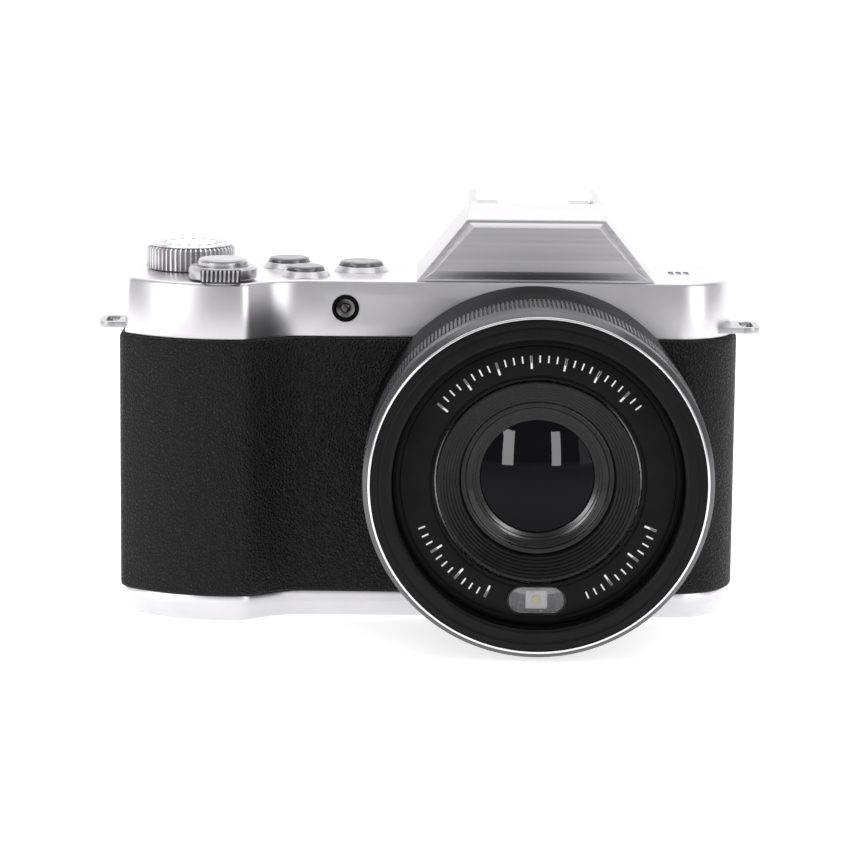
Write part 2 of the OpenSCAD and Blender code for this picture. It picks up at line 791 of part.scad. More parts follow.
module top_button_front() { top_button(button_front); }

module top_button_side() { top_button(button_side); }

module four_way_pad() {
    color(silver) difference() {
        union() {
            rear_rod(pad_c, pad_r, rear_d - 2.4, rear_d + 1.1);
            rear_rod(pad_c, pad_r + 0.8, rear_d - 2.6, rear_d - 1.9);
        }
        rear_rod(pad_c, set_r + gap, 0, 20);
    }
}

// push button on the rear face, held from inside by a flange
module rear_button(c, r, back, rise) {
    rear_rod(c, r, rear_d - 2.5 - back, rear_d + rise);
    rear_rod(c, r + 0.6, rear_d - 2.6 - back, rear_d - 1.9 - back);
}

module set_button() {
    color(silver) rear_button(pad_c, set_r, 1.5, 1.3);
}

module menu_button() {
    color(silver) rear_button(menu_c, rear_button_r, 0, 0.8);
}

module playback_button() {
    color(silver) rear_button(playback_c, rear_button_r, 0, 0.8);
}

module battery_door() {
    color(silver) difference() {
        union() {
            block([door_x0 + gap, door_y0 + gap, 0], [hinge_x, door_y1 - gap, door_t]);
            translate([hinge_x, door_y1 - gap, hinge_r]) rotate([90, 0, 0])
                cylinder(r = hinge_r, h = door_y1 - door_y0 - 2 * gap);
        }
        translate([hinge_x, door_y1 + 1, hinge_r]) rotate([90, 0, 0])
            cylinder(r = pin_r + 0.03, h = 30);
        block([latch_x, latch_y - 2.2, -1], [latch_x + 10.5, latch_y + 2.2, 0.8]);
    }
}

// thumb slide that locks the battery door
module door_latch() {
    color(dark) difference() {
        block([latch_x + 0.2, latch_y - 2, 0], [latch_x + 8.2, latch_y + 2, 0.7]);
        for (i = [0:4]) block([latch_x + 2 + i, latch_y - 1.4, -1],
                              [latch_x + 2.4 + i, latch_y + 1.4, 0.25]);
    }
}

module flap_opening() {
    block([half_w - 3.5, flap_y0, flap_z0], [half_w + 2, split_y + 1, flap_z1]);
}

module port_flap() {
    color(black) translate([0, 0, flap_z0 + gap]) linear_extrude(flap_z1 - flap_z0 - 2 * gap) {
        translate([flap_hinge[0] - flap_t / 2, flap_y0 + gap])
            square([flap_t, flap_hinge[1] - flap_y0 - gap]);
        translate(flap_hinge) circle(r = flap_t / 2);
    }
}

front_casing();
rear_casing();
leatherette();
thumb_pad();
top_cover();
finder_housing();
finder_face();
shoe_base();
shoe_rails();
shoe_spring();
shoe_contacts();
bottom_plate();
tripod_bush();
casing_screws();
strap_lug_left();
strap_lug_right();
focus_lamp_bezel();
focus_lamp_lens();
frame_plate();
main_board();
control_board();
battery();
memory_card();
image_sensor();
lens_base_barrel();
lens_guide_sleeve();
lens_bevel_ring();
lens_face_ring();
lens_dish_ring();
macro_light_window();
macro_led();
zoom_motor();
button_collars();
display_module();
display_window();
eyepiece_frame();
eyepiece_glass();
finder_display();
usb_socket();
door_hinge_pin();
control_ring();
cam_ring();
outer_zoom_barrel();
inner_zoom_barrel();
front_lens();
mode_dial();
mode_dial_cap();
zoom_lever();
shutter_button();
top_button_rear();
top_button_front();
top_button_side();
four_way_pad();
set_button();
menu_button();
playback_button();
battery_door();
door_latch();
port_flap();
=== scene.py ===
"""Looks of a compact digital camera with a hump-shaped finder and a telescoping zoom lens.

Lengths are millimetres until a mesh is made, when MM turns them into metres. Lights are in metres.
The lens looks along -Y, +X is to the right as seen from in front of the lens, and +Z is up.
"""

import math

import bmesh
import bpy
from mathutils import Matrix, Vector


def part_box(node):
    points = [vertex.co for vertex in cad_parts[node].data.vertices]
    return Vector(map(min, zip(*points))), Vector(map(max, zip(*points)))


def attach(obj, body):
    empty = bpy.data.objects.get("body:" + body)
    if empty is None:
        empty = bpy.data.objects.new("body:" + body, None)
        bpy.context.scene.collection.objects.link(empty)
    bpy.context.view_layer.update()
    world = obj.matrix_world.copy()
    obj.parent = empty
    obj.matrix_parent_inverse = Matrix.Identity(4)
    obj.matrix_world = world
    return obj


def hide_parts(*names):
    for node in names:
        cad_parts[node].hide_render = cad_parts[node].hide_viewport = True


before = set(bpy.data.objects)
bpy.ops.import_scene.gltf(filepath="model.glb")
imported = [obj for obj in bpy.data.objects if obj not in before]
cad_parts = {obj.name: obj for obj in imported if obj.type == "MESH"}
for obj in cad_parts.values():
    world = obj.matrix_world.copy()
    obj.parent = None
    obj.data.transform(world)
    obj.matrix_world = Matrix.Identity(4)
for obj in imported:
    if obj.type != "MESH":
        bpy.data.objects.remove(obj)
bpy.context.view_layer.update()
MM = 0.001
BODY = "camera_body"
SHARP = math.radians(32)


def low(node):
    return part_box(node)[0] / MM


def high(node):
    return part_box(node)[1] / MM


def middle(node):
    return (low(node) + high(node)) / 2


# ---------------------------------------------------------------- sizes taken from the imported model
half_w = high("leatherette").x
rear_d = high("rear_casing").y
body_h = high("top_cover").z
skirt_h = high("bottom_plate").z
band_h = low("top_cover").z
grip_front = -low("leatherette").y
lens = middle("control_ring")
lens_front = -low("lens_bevel_ring").y
dish_f = -low("lens_dish_ring").y - 0.1
ring_back = -high("control_ring").y
ring_front = -low("control_ring").y
base_front = -low("lens_base_barrel").y
dial = middle("mode_dial")
shutter = middle("shutter_button")
lamp = middle("focus_lamp_bezel")
window = middle("macro_light_window")
base_front_step = ring_back - 0.42
window_size = (10.2, 5.2)
AXIS = (lens.x, 0, lens.z)
LAMP_AXIS = (lamp.x, 0, lamp.z)
DIAL_AXIS = (dial.x, dial.y, 0)
SHUTTER_AXIS = (shutter.x, shutter.y, 0)
SKIN_T = 1.0
MIC_X, MIC_PITCH, MIC_DEPTH = 43.9, 1.35, 0.3

# ---------------------------------------------------------------- outline of the body from above
REAR_R = 8.0
GRIP_R = 26.5
GRIP_X = 35.0
GRIP_END_R = 3.6
GRIP_NOSE_R = 5.0
GRIP_NOSE_X = 2.3
GRIP_SLOPE = 38.0
GRIP_BLEND_R = 9.3
END_R = 10.8
FRONT_D = 14.4
SPLIT_Y = rear_d - REAR_R


def polar(radius, angle):
    return Vector((math.cos(math.radians(angle)), math.sin(math.radians(angle)))) * radius


def arc(centre, radius, a0, a1, steps):
    return [centre + polar(radius, a0 + (a1 - a0) * i / steps) for i in range(steps + 1)]


def body_outline(inset):
    """Outline of the body from above, moved inwards by inset, always with as many points."""
    grip_c = Vector((-GRIP_X, GRIP_R - grip_front))
    dx = -half_w + GRIP_END_R + GRIP_X
    dy = -math.sqrt((GRIP_R - GRIP_END_R) ** 2 - dx**2)
    end_a = 360 + math.degrees(math.atan2(dy, dx))
    nose_a = 270 + math.degrees(math.asin(GRIP_NOSE_X / GRIP_R))
    nose_c = grip_c + polar(GRIP_R - GRIP_NOSE_R, nose_a)
    slope = math.radians(GRIP_SLOPE)
    top = nose_c + Vector((math.sin(slope), -math.cos(slope))) * GRIP_NOSE_R
    end_y = -FRONT_D - GRIP_BLEND_R * (1 - math.cos(slope))
    end_x = top.x + (end_y - top.y) / math.tan(slope)
    blend_c = Vector((end_x + GRIP_BLEND_R * math.sin(slope), -FRONT_D - GRIP_BLEND_R))
    right_c = Vector((half_w - END_R, -FRONT_D + END_R))
    nose_r = max(GRIP_NOSE_R - inset, 0.3)
    return (
        arc(Vector((half_w - REAR_R, SPLIT_Y)), REAR_R - inset, 0, 90, 14)
        + arc(Vector((-half_w + REAR_R, SPLIT_Y)), REAR_R - inset, 90, 180, 14)
        + arc(grip_c + Vector((dx, dy)), GRIP_END_R - inset, 180, end_a, 10)
        + arc(grip_c, GRIP_R - inset, end_a + 1.2, nose_a, 36)
        + arc(nose_c, nose_r, nose_a + 2, 270 + GRIP_SLOPE, 10)
        + arc(blend_c, GRIP_BLEND_R + inset, 90 + GRIP_SLOPE, 90, 12)
        + arc(right_c, END_R - inset, 270, 360, 24)
    )


# ---------------------------------------------------------------- meshes
def linked(name, mesh):
    piece = bpy.data.objects.new(name, mesh)
    bpy.context.scene.collection.objects.link(piece)
    return piece


def mesh_piece(name, points, faces):
    """A piece from points in millimetres, with its doubles merged and its faces turned outwards."""
    mesh = bpy.data.meshes.new(name)
    mesh.from_pydata([tuple(Vector(p) * MM) for p in points], [], faces)
    tidy = bmesh.new()
    tidy.from_mesh(mesh)
    bmesh.ops.remove_doubles(tidy, verts=tidy.verts, dist=1e-6)
    bmesh.ops.recalc_face_normals(tidy, faces=tidy.faces)
    tidy.to_mesh(mesh)
    tidy.free()
    return linked(name, mesh)


def baked(piece):
    """The piece with its modifiers applied, as a plain mesh under the same name."""
    name = piece.name
    evaluated = piece.evaluated_get(bpy.context.evaluated_depsgraph_get())
    mesh = bpy.data.meshes.new_from_object(evaluated)
    bpy.data.objects.remove(piece)
    mesh.name = name
    return linked(name, mesh)


def stacked(name, loops, endless=False):
    """A closed shell through loops of points, with flat ends or with no ends at all."""
    count, last = len(loops[0]), len(loops) - 1
    points = [p for loop in loops for p in loop]
    faces = [] if endless else [list(range(count)), [last * count + i for i in range(count)]]
    for k in range(last + endless):
        m = (k + 1) % len(loops)
        for i in range(count):
            j = (i + 1) % count
            faces.append([k * count + i, k * count + j, m * count + j, m * count + i])
    return mesh_piece(name, points, faces)


def rounded(profile, radius, steps=3):
    """The closed profile with its corners rounded, as far as its sides have room."""
    out = []
    count = len(profile)
    for i in range(count):
        p = Vector(profile[i])
        back = Vector(profile[i - 1]) - p
        ahead = Vector(profile[(i + 1) % count]) - p
        on_axis = abs(p.x) < 1e-6
        if on_axis or back.length < 1e-6 or ahead.length < 1e-6:
            out.append(p)
            continue
        half = back.angle(ahead) / 2
        if half > math.radians(84):
            out.append(p)
            continue
        reach = min(radius / math.tan(half), back.length * 0.45, ahead.length * 0.45)
        a = p + back.normalized() * reach
        b = p + ahead.normalized() * reach
        for k in range(steps + 1):
            t = k / steps
            out.append(a * (1 - t) ** 2 + p * 2 * t * (1 - t) + b * t**2)
    return out


def turned(name, profile, centre, axis="Y", segments=192):
    """A closed (radius, height) profile turned about Y, with height forwards, or about Z."""
    points, faces = [], []
    count = len(profile)
    for s in range(segments):
        angle = 2 * math.pi * s / segments
        c, d = math.cos(angle), math.sin(angle)
        for r, h in profile:
            if axis == "Y":
                points.append((centre[0] + r * c, -h, centre[2] + r * d))
            else:
                points.append((centre[0] + r * c, centre[1] + r * d, h))
    for s in range(segments):
        a, b = s * count, ((s + 1) % segments) * count
        for i in range(count):
            j = (i + 1) % count
            if profile[i][0] > 1e-6 or profile[j][0] > 1e-6:
                faces.append([a + i, a + j, b + j, b + i])
    piece = mesh_piece(name, points, faces)
    close_poles(piece)
    return piece


def close_poles(piece):
    """Removes the faces that merging a pole's points has made empty."""
    tidy = bmesh.new()
    tidy.from_mesh(piece.data)
    bmesh.ops.dissolve_degenerate(tidy, dist=1e-7, edges=tidy.edges)
    bmesh.ops.recalc_face_normals(tidy, faces=tidy.faces)
    tidy.to_mesh(piece.data)
    tidy.free()


def prism(name, outline, lowest, highest, bevel=0.0, steps=2):
    """An outline of (x, y) raised between two heights, with its edges rounded."""
    loops = [[(p[0], p[1], z) for p in outline] for z in (lowest, highest)]
    piece = stacked(name, loops)
    return bevelled(piece, bevel, steps) if bevel else piece


def bevelled(piece, width, steps=2, angle=28):
    edge = piece.modifiers.new("edge", "BEVEL")
    edge.width = width * MM
    edge.segments = steps
    edge.limit_method = "ANGLE"
    edge.angle_limit = math.radians(angle)
    return baked(piece)


def carved(piece, cutters):
    """The piece with the cutters' shapes taken away."""
    for cutter in cutters:
        cut = piece.modifiers.new(cutter.name, "BOOLEAN")
        cut.operation = "DIFFERENCE"
        cut.solver = "EXACT"
        cut.object = cutter
    piece = baked(piece)
    for cutter in cutters:
        bpy.data.objects.remove(cutter)
    return piece


def block(name, lowest, highest):
    x0, y0, z0 = lowest
    x1, y1, z1 = highest
    return prism(name, [(x0, y0), (x1, y0), (x1, y1), (x0, y1)], z0, z1)


def rod(name, centre, radius, start, end, axis="Z", segments=64):
    profile = [(0, start), (radius, start), (radius, end), (0, end)]
    return turned(name, profile, centre, axis, segments)


def softened(node, width, steps=2, angle=28):
    """A copy of a CAD node with its flat faces joined and its edges rounded."""
    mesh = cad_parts[node].data.copy()
    mesh.materials.clear()
    tidy = bmesh.new()
    tidy.from_mesh(mesh)
    bmesh.ops.remove_doubles(tidy, verts=tidy.verts, dist=1e-6)
    bmesh.ops.dissolve_limit(
        tidy, angle_limit=math.radians(0.6), verts=tidy.verts, edges=tidy.edges
    )
    tidy.to_mesh(mesh)
    tidy.free()
    return bevelled(linked(node + "_shell", mesh), width, steps, angle)


def joined(name, pieces):
    """Several pieces as one mesh."""
    whole = bmesh.new()
    for piece in pieces:
        whole.from_mesh(piece.data)
        bpy.data.objects.remove(piece)
    mesh = bpy.data.meshes.new(name)
    whole.to_mesh(mesh)
    whole.free()
    return linked(name, mesh)


def finished(piece, body, finish, nodes=()):
    """Gives a piece its finish, smooth shading and body, and hides the CAD nodes that it stands for.
    """
    mesh = piece.data
    mesh.materials.clear()
    mesh.materials.append(finish)
    for face in mesh.polygons:
        face.material_index = 0
    mesh.shade_smooth()
    mesh.set_sharp_from_angle(angle=SHARP)
    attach(piece, body)
    if nodes:
        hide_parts(*nodes)
    return piece


def dressed(node, width, steps, finish, body=BODY, angle=28):
    """A CAD node with softened edges that stands for itself."""
    finished(softened(node, width, steps, angle), body, finish, [node])


def lathed(name, profile, edge, finish, slot, nodes=(), body=BODY, steps=3, **turning):
    """A finished piece turned from a profile with rounded corners."""
    turning = {"centre": AXIS, "segments": 256, **turning}
    piece = turned(name, rounded(profile, edge, steps), **turning)
    return finished(piece, body, finish, nodes)


# ---------------------------------------------------------------- repeats made with geometry nodes
def repeat_tree(name, turning):
    """A tree that repeats the incoming shape, turned about a centre or set in a line."""
    tree = bpy.data.node_groups.new(name, "GeometryNodeTree")
    face = tree.interface
    kinds = {"Count": "Int", "Start": "Vector", "Step": "Vector", "Centre": "Vector"}
    for socket, kind in {"Geometry": "Geometry", **kinds, "Finish": "Material"}.items():
        face.new_socket(socket, in_out="INPUT", socket_type="NodeSocket" + kind)
    face.new_socket("Geometry", in_out="OUTPUT", socket_type="NodeSocketGeometry")
    new = tree.nodes.new
    wire = tree.links.new
    source, sink = new("NodeGroupInput"), new("NodeGroupOutput")
    points, index = new("GeometryNodePoints"), new("GeometryNodeInputIndex")
    along, place = new("ShaderNodeVectorMath"), new("GeometryNodeInstanceOnPoints")
    real, moved = new("GeometryNodeRealizeInstances"), new("GeometryNodeTransform")
    paint = new("GeometryNodeSetMaterial")
    along.operation = "MULTIPLY_ADD"
    wire(source.outputs["Count"], points.inputs["Count"])
    wire(index.outputs[0], along.inputs[0])
    wire(source.outputs["Step"], along.inputs[1])
    wire(source.outputs["Start"], along.inputs[2])
    wire(points.outputs[0], place.inputs["Points"])
    wire(source.outputs["Geometry"], place.inputs["Instance"])
    if turning:
        turn = new("FunctionNodeEulerToRotation")
        wire(along.outputs[0], turn.inputs[0])
        wire(turn.outputs[0], place.inputs["Rotation"])
    else:
        wire(along.outputs[0], points.inputs["Position"])
    wire(place.outputs[0], real.inputs[0])
    wire(real.outputs[0], moved.inputs["Geometry"])
    wire(source.outputs["Centre"], moved.inputs["Translation"])
    wire(moved.outputs[0], paint.inputs["Geometry"])
    wire(source.outputs["Finish"], paint.inputs["Material"])
    wire(paint.outputs[0], sink.inputs[0])
    return tree


TURN_TREE = repeat_tree("repeat_round_a_centre", True)
LINE_TREE = repeat_tree("repeat_in_a_line", False)


def repeated(piece, tree, finish, count, step, centre, start=(0, 0, 0)):
    """Repeats a shape: steps are degrees round a centre, or millimetres in a line."""
    repeat = piece.modifiers.new("repeat", "NODES")
    repeat.node_group = tree
    unit = math.radians(1) if tree is TURN_TREE else MM
    values = {
        "Count": count,
        "Start": [v * unit for v in start],
        "Step": [v * unit for v in step],
        "Centre": [v * MM for v in centre],
        "Finish": finish,
    }
    for socket in tree.interface.items_tree:
        if socket.in_out == "INPUT" and socket.name in values:
            repeat[socket.identifier] = values[socket.name]
    piece.update_tag()
    return baked(piece)


# ---------------------------------------------------------------- finishes
class Finish:
    """A material around one Principled shader, whose constant values sit on its sockets."""

    def __init__(self, name, colour, roughness, metallic=0.0, **values):
        self.material = bpy.data.materials.new(name)
        self.material.use_nodes = True
        self.tree = self.material.node_tree
        self.shader = self.tree.nodes["Principled BSDF"]
        self.material.diffuse_color = (*colour, 1)
        self.set("Base Color", (*colour, 1))
        self.set("Roughness", roughness)
        self.set("Metallic", metallic)
        for socket, value in values.items():
            self.set(socket.replace("_", " "), value)
        self.coords = self.node("ShaderNodeTexCoord").outputs["Object"]

    def set(self, socket, value):
        self.shader.inputs[socket].default_value = value

    def node(self, kind, wired=None, values=None, **options):
        made = self.tree.nodes.new(kind)
        for key, value in options.items():
            setattr(made, key, value)
        for key, value in (values or {}).items():
            made.inputs[key].default_value = value
        for key, source in (wired or {}).items():
            self.tree.links.new(source, made.inputs[key])
        return made

    def mapped(self, scale=(1, 1, 1), centre=(0, 0, 0)):
        """Object coordinates scaled about a centre given in millimetres."""
        away = {1: [c * MM for c in centre]}
        moved = self.node("ShaderNodeVectorMath", {0: self.coords}, away, operation="SUBTRACT")
        wired = {"Vector": moved.outputs[0]}
        return self.node("ShaderNodeMapping", wired, {"Scale": scale}).outputs[0]

    def noise(self, vector, size, detail=2.0, rough=0.5):
        """Noise with features of about this size in millimetres."""
        values = {"Scale": 1 / (size * MM), "Detail": detail, "Roughness": rough}
        return self.node("ShaderNodeTexNoise", {"Vector": vector}, values).outputs["Fac"]

    def wave(self, scale, distortion, **options):
        values = {"Scale": scale, "Distortion": distortion}
        made = self.node("ShaderNodeTexWave", {"Vector": self.mapped()}, values, **options)
        return made.outputs["Fac"]

    def ranged(self, source, lowest, highest, from_low=0.0, from_high=1.0, kind="LINEAR"):
        return self.node(
            "ShaderNodeMapRange",
            {"Value": source},
            {"From Min": from_low, "From Max": from_high, "To Min": lowest, "To Max": highest},
            interpolation_type=kind,
        ).outputs["Result"]

    def sum(self, a, b, operation="ADD"):
        return self.node("ShaderNodeMath", {0: a, 1: b}, operation=operation).outputs[0]

    def colours(self, fac, first, second):
        ramp = self.node("ShaderNodeValToRGB", {"Fac": fac})
        ramp.color_ramp.elements[0].color = (*first, 1)
        ramp.color_ramp.elements[1].color = (*second, 1)
        self.tree.links.new(ramp.outputs["Color"], self.shader.inputs["Base Color"])

    def clouded(self, cloud, first, second):
        """Two colours spread over the middle of a noise's range."""
        self.colours(self.ranged(cloud, 0, 1, 0.3, 0.7), first, second)

    def rough(self, source):
        self.tree.links.new(source, self.shader.inputs["Roughness"])

    def uneven(self, fine, lowest, highest, cloud, less, more):
        """Roughness from a fine noise, shifted a little by a coarse one."""
        self.rough(self.sum(self.ranged(fine, lowest, highest), self.ranged(cloud, less, more)))

    def bump(self, height, depth, strength=1.0):
        """Relief from a height between 0 and 1, with its depth in millimetres."""
        bump = self.node(
            "ShaderNodeBump", {"Height": height}, {"Distance": depth * MM, "Strength": strength}
        )
        self.tree.links.new(bump.outputs[0], self.shader.inputs["Normal"])

    def lathe(self, centre, axis="Y"):
        """Coordinates of radius and height about an axis through a centre."""
        parts = self.node("ShaderNodeSeparateXYZ", {0: self.mapped(centre=centre)})
        across = "Z" if axis == "Y" else "Y"
        flat = self.node("ShaderNodeCombineXYZ", {0: parts.outputs["X"], 1: parts.outputs[across]})
        radius = self.node("ShaderNodeVectorMath", {0: flat.outputs[0]}, operation="LENGTH")
        return self.node(
            "ShaderNodeCombineXYZ", {0: radius.outputs["Value"], 1: parts.outputs[axis]}
        ).outputs[0]


def lilac(tint):
    """A grey with the faint cool cast of the metal."""
    return (tint, tint * 0.985, tint * 1.02)


def satin_silver():
    """Silver lacquer over a moulded cover: a fine flake and slightly uneven gloss."""
    f = Finish("satin_silver", (0.72, 0.71, 0.735), 0.3, 1.0)
    flake = f.noise(f.coords, 0.16, 3, 0.7)
    cloud = f.noise(f.coords, 9, 3, 0.55)
    f.clouded(cloud, (0.69, 0.68, 0.705), (0.75, 0.74, 0.765))
    f.uneven(flake, 0.26, 0.36, cloud, -0.02, 0.03)
    f.bump(flake, 0.004, 0.5)
    return f.material


def brushed_silver(name, stretch, tint=0.7, rough=0.3):
    """Metal brushed along one axis, whose scratches are long across the stretch."""
    f = Finish(name, (tint, tint, tint + 0.01), rough, 1.0)
    along = f.mapped(stretch)
    hair = f.noise(along, 0.12, 4, 0.75)
    streak = f.noise(along, 0.7, 3, 0.6)
    f.clouded(streak, lilac(tint * 0.93), lilac(tint * 1.05))
    f.rough(f.ranged(f.sum(hair, streak), rough - 0.06, rough + 0.12, 0.6, 1.4))
    f.bump(hair, 0.01, 0.55)
    return f.material


def turned_metal(name, centre, axis, tint=0.72, rough=0.26, depth=0.004):
    """Metal turned on a lathe: fine concentric lines about its own axis."""
    f = Finish(name, (tint, tint, tint + 0.008), rough, 1.0)
    line = f.noise(f.lathe(centre, axis), 0.09, 3, 0.7)
    cloud = f.noise(f.coords, 3.5, 2, 0.5)
    f.clouded(cloud, lilac(tint * 0.95), lilac(tint * 1.04))
    f.uneven(line, rough - 0.05, rough + 0.08, cloud, -0.015, 0.02)
    f.bump(line, depth, 0.6)
    return f.material


def moulded_metal(name, tint, rough):
    """Cast metal with a soft even gloss."""
    f = Finish(name, lilac(tint), rough, 1.0)
    cloud = f.noise(f.coords, 2.5, 3, 0.6)
    grain = f.noise(f.coords, 0.15, 3, 0.6)
    f.clouded(cloud, lilac(tint * 0.94), lilac(tint * 1.05))
    f.uneven(grain, rough - 0.05, rough + 0.07, cloud, -0.02, 0.02)
    f.bump(grain, 0.004, 0.5)
    return f.material


def pebbled_leather():
    """Leatherette: small uneven pebbles parted by creases, over a slow swell."""
    f = Finish("pebbled_leather", (0.004, 0.0038, 0.0046), 0.5, 0.0, Specular_IOR_Level=0.3)
    bend = f.node(
        "ShaderNodeTexNoise", {"Vector": f.coords}, {"Scale": 900.0, "Detail": 2.0}
    ).outputs["Color"]
    bent = f.node(
        "ShaderNodeVectorMath", {0: bend}, {1: (0.0006, 0.0006, 0.0006), 2: (0, 0, 0)},
        operation="MULTIPLY_ADD",
    )
    f.tree.links.new(f.coords, bent.inputs[2])
    cells = f.node(
        "ShaderNodeTexVoronoi", {"Vector": bent.outputs[0]}, {"Scale": 1650.0, "Randomness": 1.0},
        feature="DISTANCE_TO_EDGE",
    ).outputs["Distance"]
    pebble = f.ranged(cells, 0, 1, 0.0, 0.34, "SMOOTHSTEP")
    fine = f.noise(f.coords, 0.22, 3, 0.6)
    swell = f.noise(f.coords, 2.6, 2, 0.5)
    height = f.sum(f.sum(pebble, f.ranged(fine, 0, 0.5)), f.ranged(swell, 0, 1.2))
    # the creases between the pebbles get the darker colour: painted shade in the creases
    f.colours(pebble, (0.0018, 0.0017, 0.0023), (0.004, 0.0038, 0.0048))
    f.uneven(pebble, 0.62, 0.44, swell, -0.05, 0.05)
    f.bump(height, 0.2, 1.0)
    return f.material


def moulded_plastic(name, colour, rough=0.45, grain=0.012):
    """Plastic from a spark-eroded mould: an even fine grain."""
    f = Finish(name, colour, rough, 0.0)
    fine = f.noise(f.coords, 0.14, 3, 0.6)
    cloud = f.noise(f.coords, 6, 2, 0.5)
    f.clouded(cloud, [c * 0.85 for c in colour], [c * 1.15 for c in colour])
    f.uneven(fine, rough - 0.06, rough + 0.08, cloud, -0.03, 0.03)
    f.bump(fine, grain, 0.6)
    return f.material


def anodised_black(name, tint=0.012, rough=0.3, depth=0.003, shine=0.2):
    """Black anodised metal with faint turning lines."""
    f = Finish(name, (tint, tint, tint * 1.08), rough, 0.0, Specular_IOR_Level=shine)
    line = f.noise(f.lathe(AXIS), 0.1, 3, 0.7)
    cloud = f.noise(f.coords, 4, 2, 0.5)
    f.clouded(cloud, (tint * 0.85,) * 3, (tint * 1.2,) * 3)
    f.uneven(line, rough - 0.05, rough + 0.07, cloud, -0.02, 0.02)
    f.bump(line, depth, 0.6)
    return f.material


def rubber():
    f = Finish("soft_rubber", (0.014, 0.014, 0.0145), 0.68, 0.0, Sheen_Weight=0.12)
    fine = f.noise(f.coords, 0.2, 3, 0.6)
    dust = f.noise(f.coords, 5, 3, 0.6)
    f.colours(f.ranged(dust, 0, 1, 0.35, 0.75), (0.012, 0.012, 0.0125), (0.02, 0.02, 0.021))
    f.rough(f.ranged(dust, 0.6, 0.76))
    f.bump(fine, 0.015, 0.5)
    return f.material


def coated_glass(name, colour, rough=0.02, **values):
    """Glass with a thin coating whose gloss is broken only by the faintest smear."""
    f = Finish(name, colour, rough, 0.0, **values)
    smear = f.noise(f.coords, 3.5, 2, 0.5)
    f.rough(f.ranged(smear, rough, rough + 0.03))
    f.bump(smear, 0.002, 0.1)
    return f.material


def frosted_window():
    """Clear plastic with a shallow prism grid moulded into it."""
    f = Finish("frosted_window", (0.8, 0.8, 0.81), 0.08, 0.0, Transmission_Weight=0.9, IOR=1.2)
    wave = f.wave(420.0, 0.4, bands_direction="X")
    cross = f.wave(420.0, 0.4, bands_direction="Z")
    f.rough(f.ranged(wave, 0.03, 0.09))
    f.bump(f.sum(wave, cross), 0.012, 0.3)
    return f.material


def lamp_emitter():
    f = Finish("lamp_emitter", (0.86, 0.8, 0.3), 0.35, 0.0, Subsurface_Weight=0.1)
    grain = f.noise(f.coords, 0.2, 3, 0.6)
    f.colours(grain, (0.75, 0.66, 0.12), (0.95, 0.9, 0.5))
    f.bump(grain, 0.02, 0.4)
    return f.material


def red_lens():
    f = Finish("red_lens", (0.03, 0.006, 0.012), 0.08, 0.0, Coat_Weight=1.0, Coat_Roughness=0.03)
    ring = f.noise(f.coords, 0.5, 2, 0.5)
    f.colours(ring, (0.02, 0.003, 0.008), (0.05, 0.012, 0.02))
    f.rough(f.ranged(ring, 0.05, 0.15))
    return f.material


def laminate(name, colour, rough=0.4):
    """Circuit board or wrapped film: woven fibres under a glossy coat."""
    f = Finish(name, colour, rough, 0.0, Coat_Weight=0.4)
    weave = f.wave(500.0, 1.5)
    cloud = f.noise(f.coords, 3, 3, 0.6)
    f.colours(f.sum(weave, cloud, "MULTIPLY"), [c * 0.7 for c in colour], [c * 1.2 for c in colour])
    f.rough(f.ranged(cloud, rough - 0.1, rough + 0.1))
    f.bump(weave, 0.01, 0.3)
    return f.material


RING_TEETH = 240
DIAL_RIBS = 54
LEVER_RIBS, LEVER_PITCH = 9, 0.74
KNURL_END = 40.9
SILVER = satin_silver()
SATIN = moulded_metal("lug_metal", 0.5, 0.3)
CAP_TINT = 0.21
HUMP = brushed_silver("brushed_hump", (0.02, 1, 1), 0.62, 0.3)
PANEL = brushed_silver("brushed_panel", (0.006, 1, 1), 0.58, 0.38)
KNURL = turned_metal("knurled_metal", AXIS, "Y", 0.11, 0.32)
# darker copy of the knurl metal for the root under the teeth: painted shade between the teeth
KNURL_PAINTED_SHADE = turned_metal("knurl_painted_shade", AXIS, "Y", 0.035, 0.4)
RIM = turned_metal("rim_metal", AXIS, "Y", 0.13, 0.24)
BEAD = turned_metal("bead_metal", AXIS, "Y", 0.9, 0.1, 0.001)
LEATHER = pebbled_leather()
PLASTIC = moulded_plastic("black_plastic", (0.018, 0.018, 0.019))
INNER = moulded_plastic("inner_casing", (0.03, 0.03, 0.032), 0.55)
BARREL = anodised_black("lens_black", 0.003, 0.42, shine=0.06)
FACE = anodised_black("lens_face_black", 0.005, 0.28, 0.001, shine=0.14)
DISH = anodised_black("dish_black", 0.006, 0.3, 0.004, shine=0.09)
BAFFLE = anodised_black("baffle_black", 0.007, 0.16, 0.004, shine=0.25)
GREY_LINE = turned_metal("face_line", AXIS, "Y", 0.2, 0.4)
MARK_WHITE = moulded_plastic("mark_white", (0.8, 0.8, 0.81), 0.5, 0.004)
POCKET = moulded_plastic("light_pocket", (0.4, 0.395, 0.41), 0.35, 0.02)
MARK_GREY = moulded_plastic("mark_grey", (0.22, 0.22, 0.23), 0.5, 0.004)
RUBBER = rubber()
GLASS = coated_glass(
    "front_glass", (0.0012, 0.001, 0.002), 0.01, IOR=1.5, Specular_IOR_Level=0.11
)
DEEP_GLASS = coated_glass(
    "inner_glass", (0.0015, 0.001, 0.003), 0.05, Specular_IOR_Level=0.1,
    Specular_Tint=(0.75, 0.6, 1.0, 1),
)
SCREEN = coated_glass("screen_glass", (0.008, 0.009, 0.012), 0.04, Coat_Weight=0.8)
WINDOW = frosted_window()
EMITTER = lamp_emitter()
RED = red_lens()
BRASS = brushed_silver("gilt_contact", (1, 1, 0.1), 0.6, 0.25)
STEEL = brushed_silver("plain_steel", (0.1, 1, 1), 0.55, 0.28)
BOARD = laminate("circuit_board", (0.02, 0.14, 0.06))
WRAP = laminate("battery_wrap", (0.04, 0.05, 0.08), 0.35)
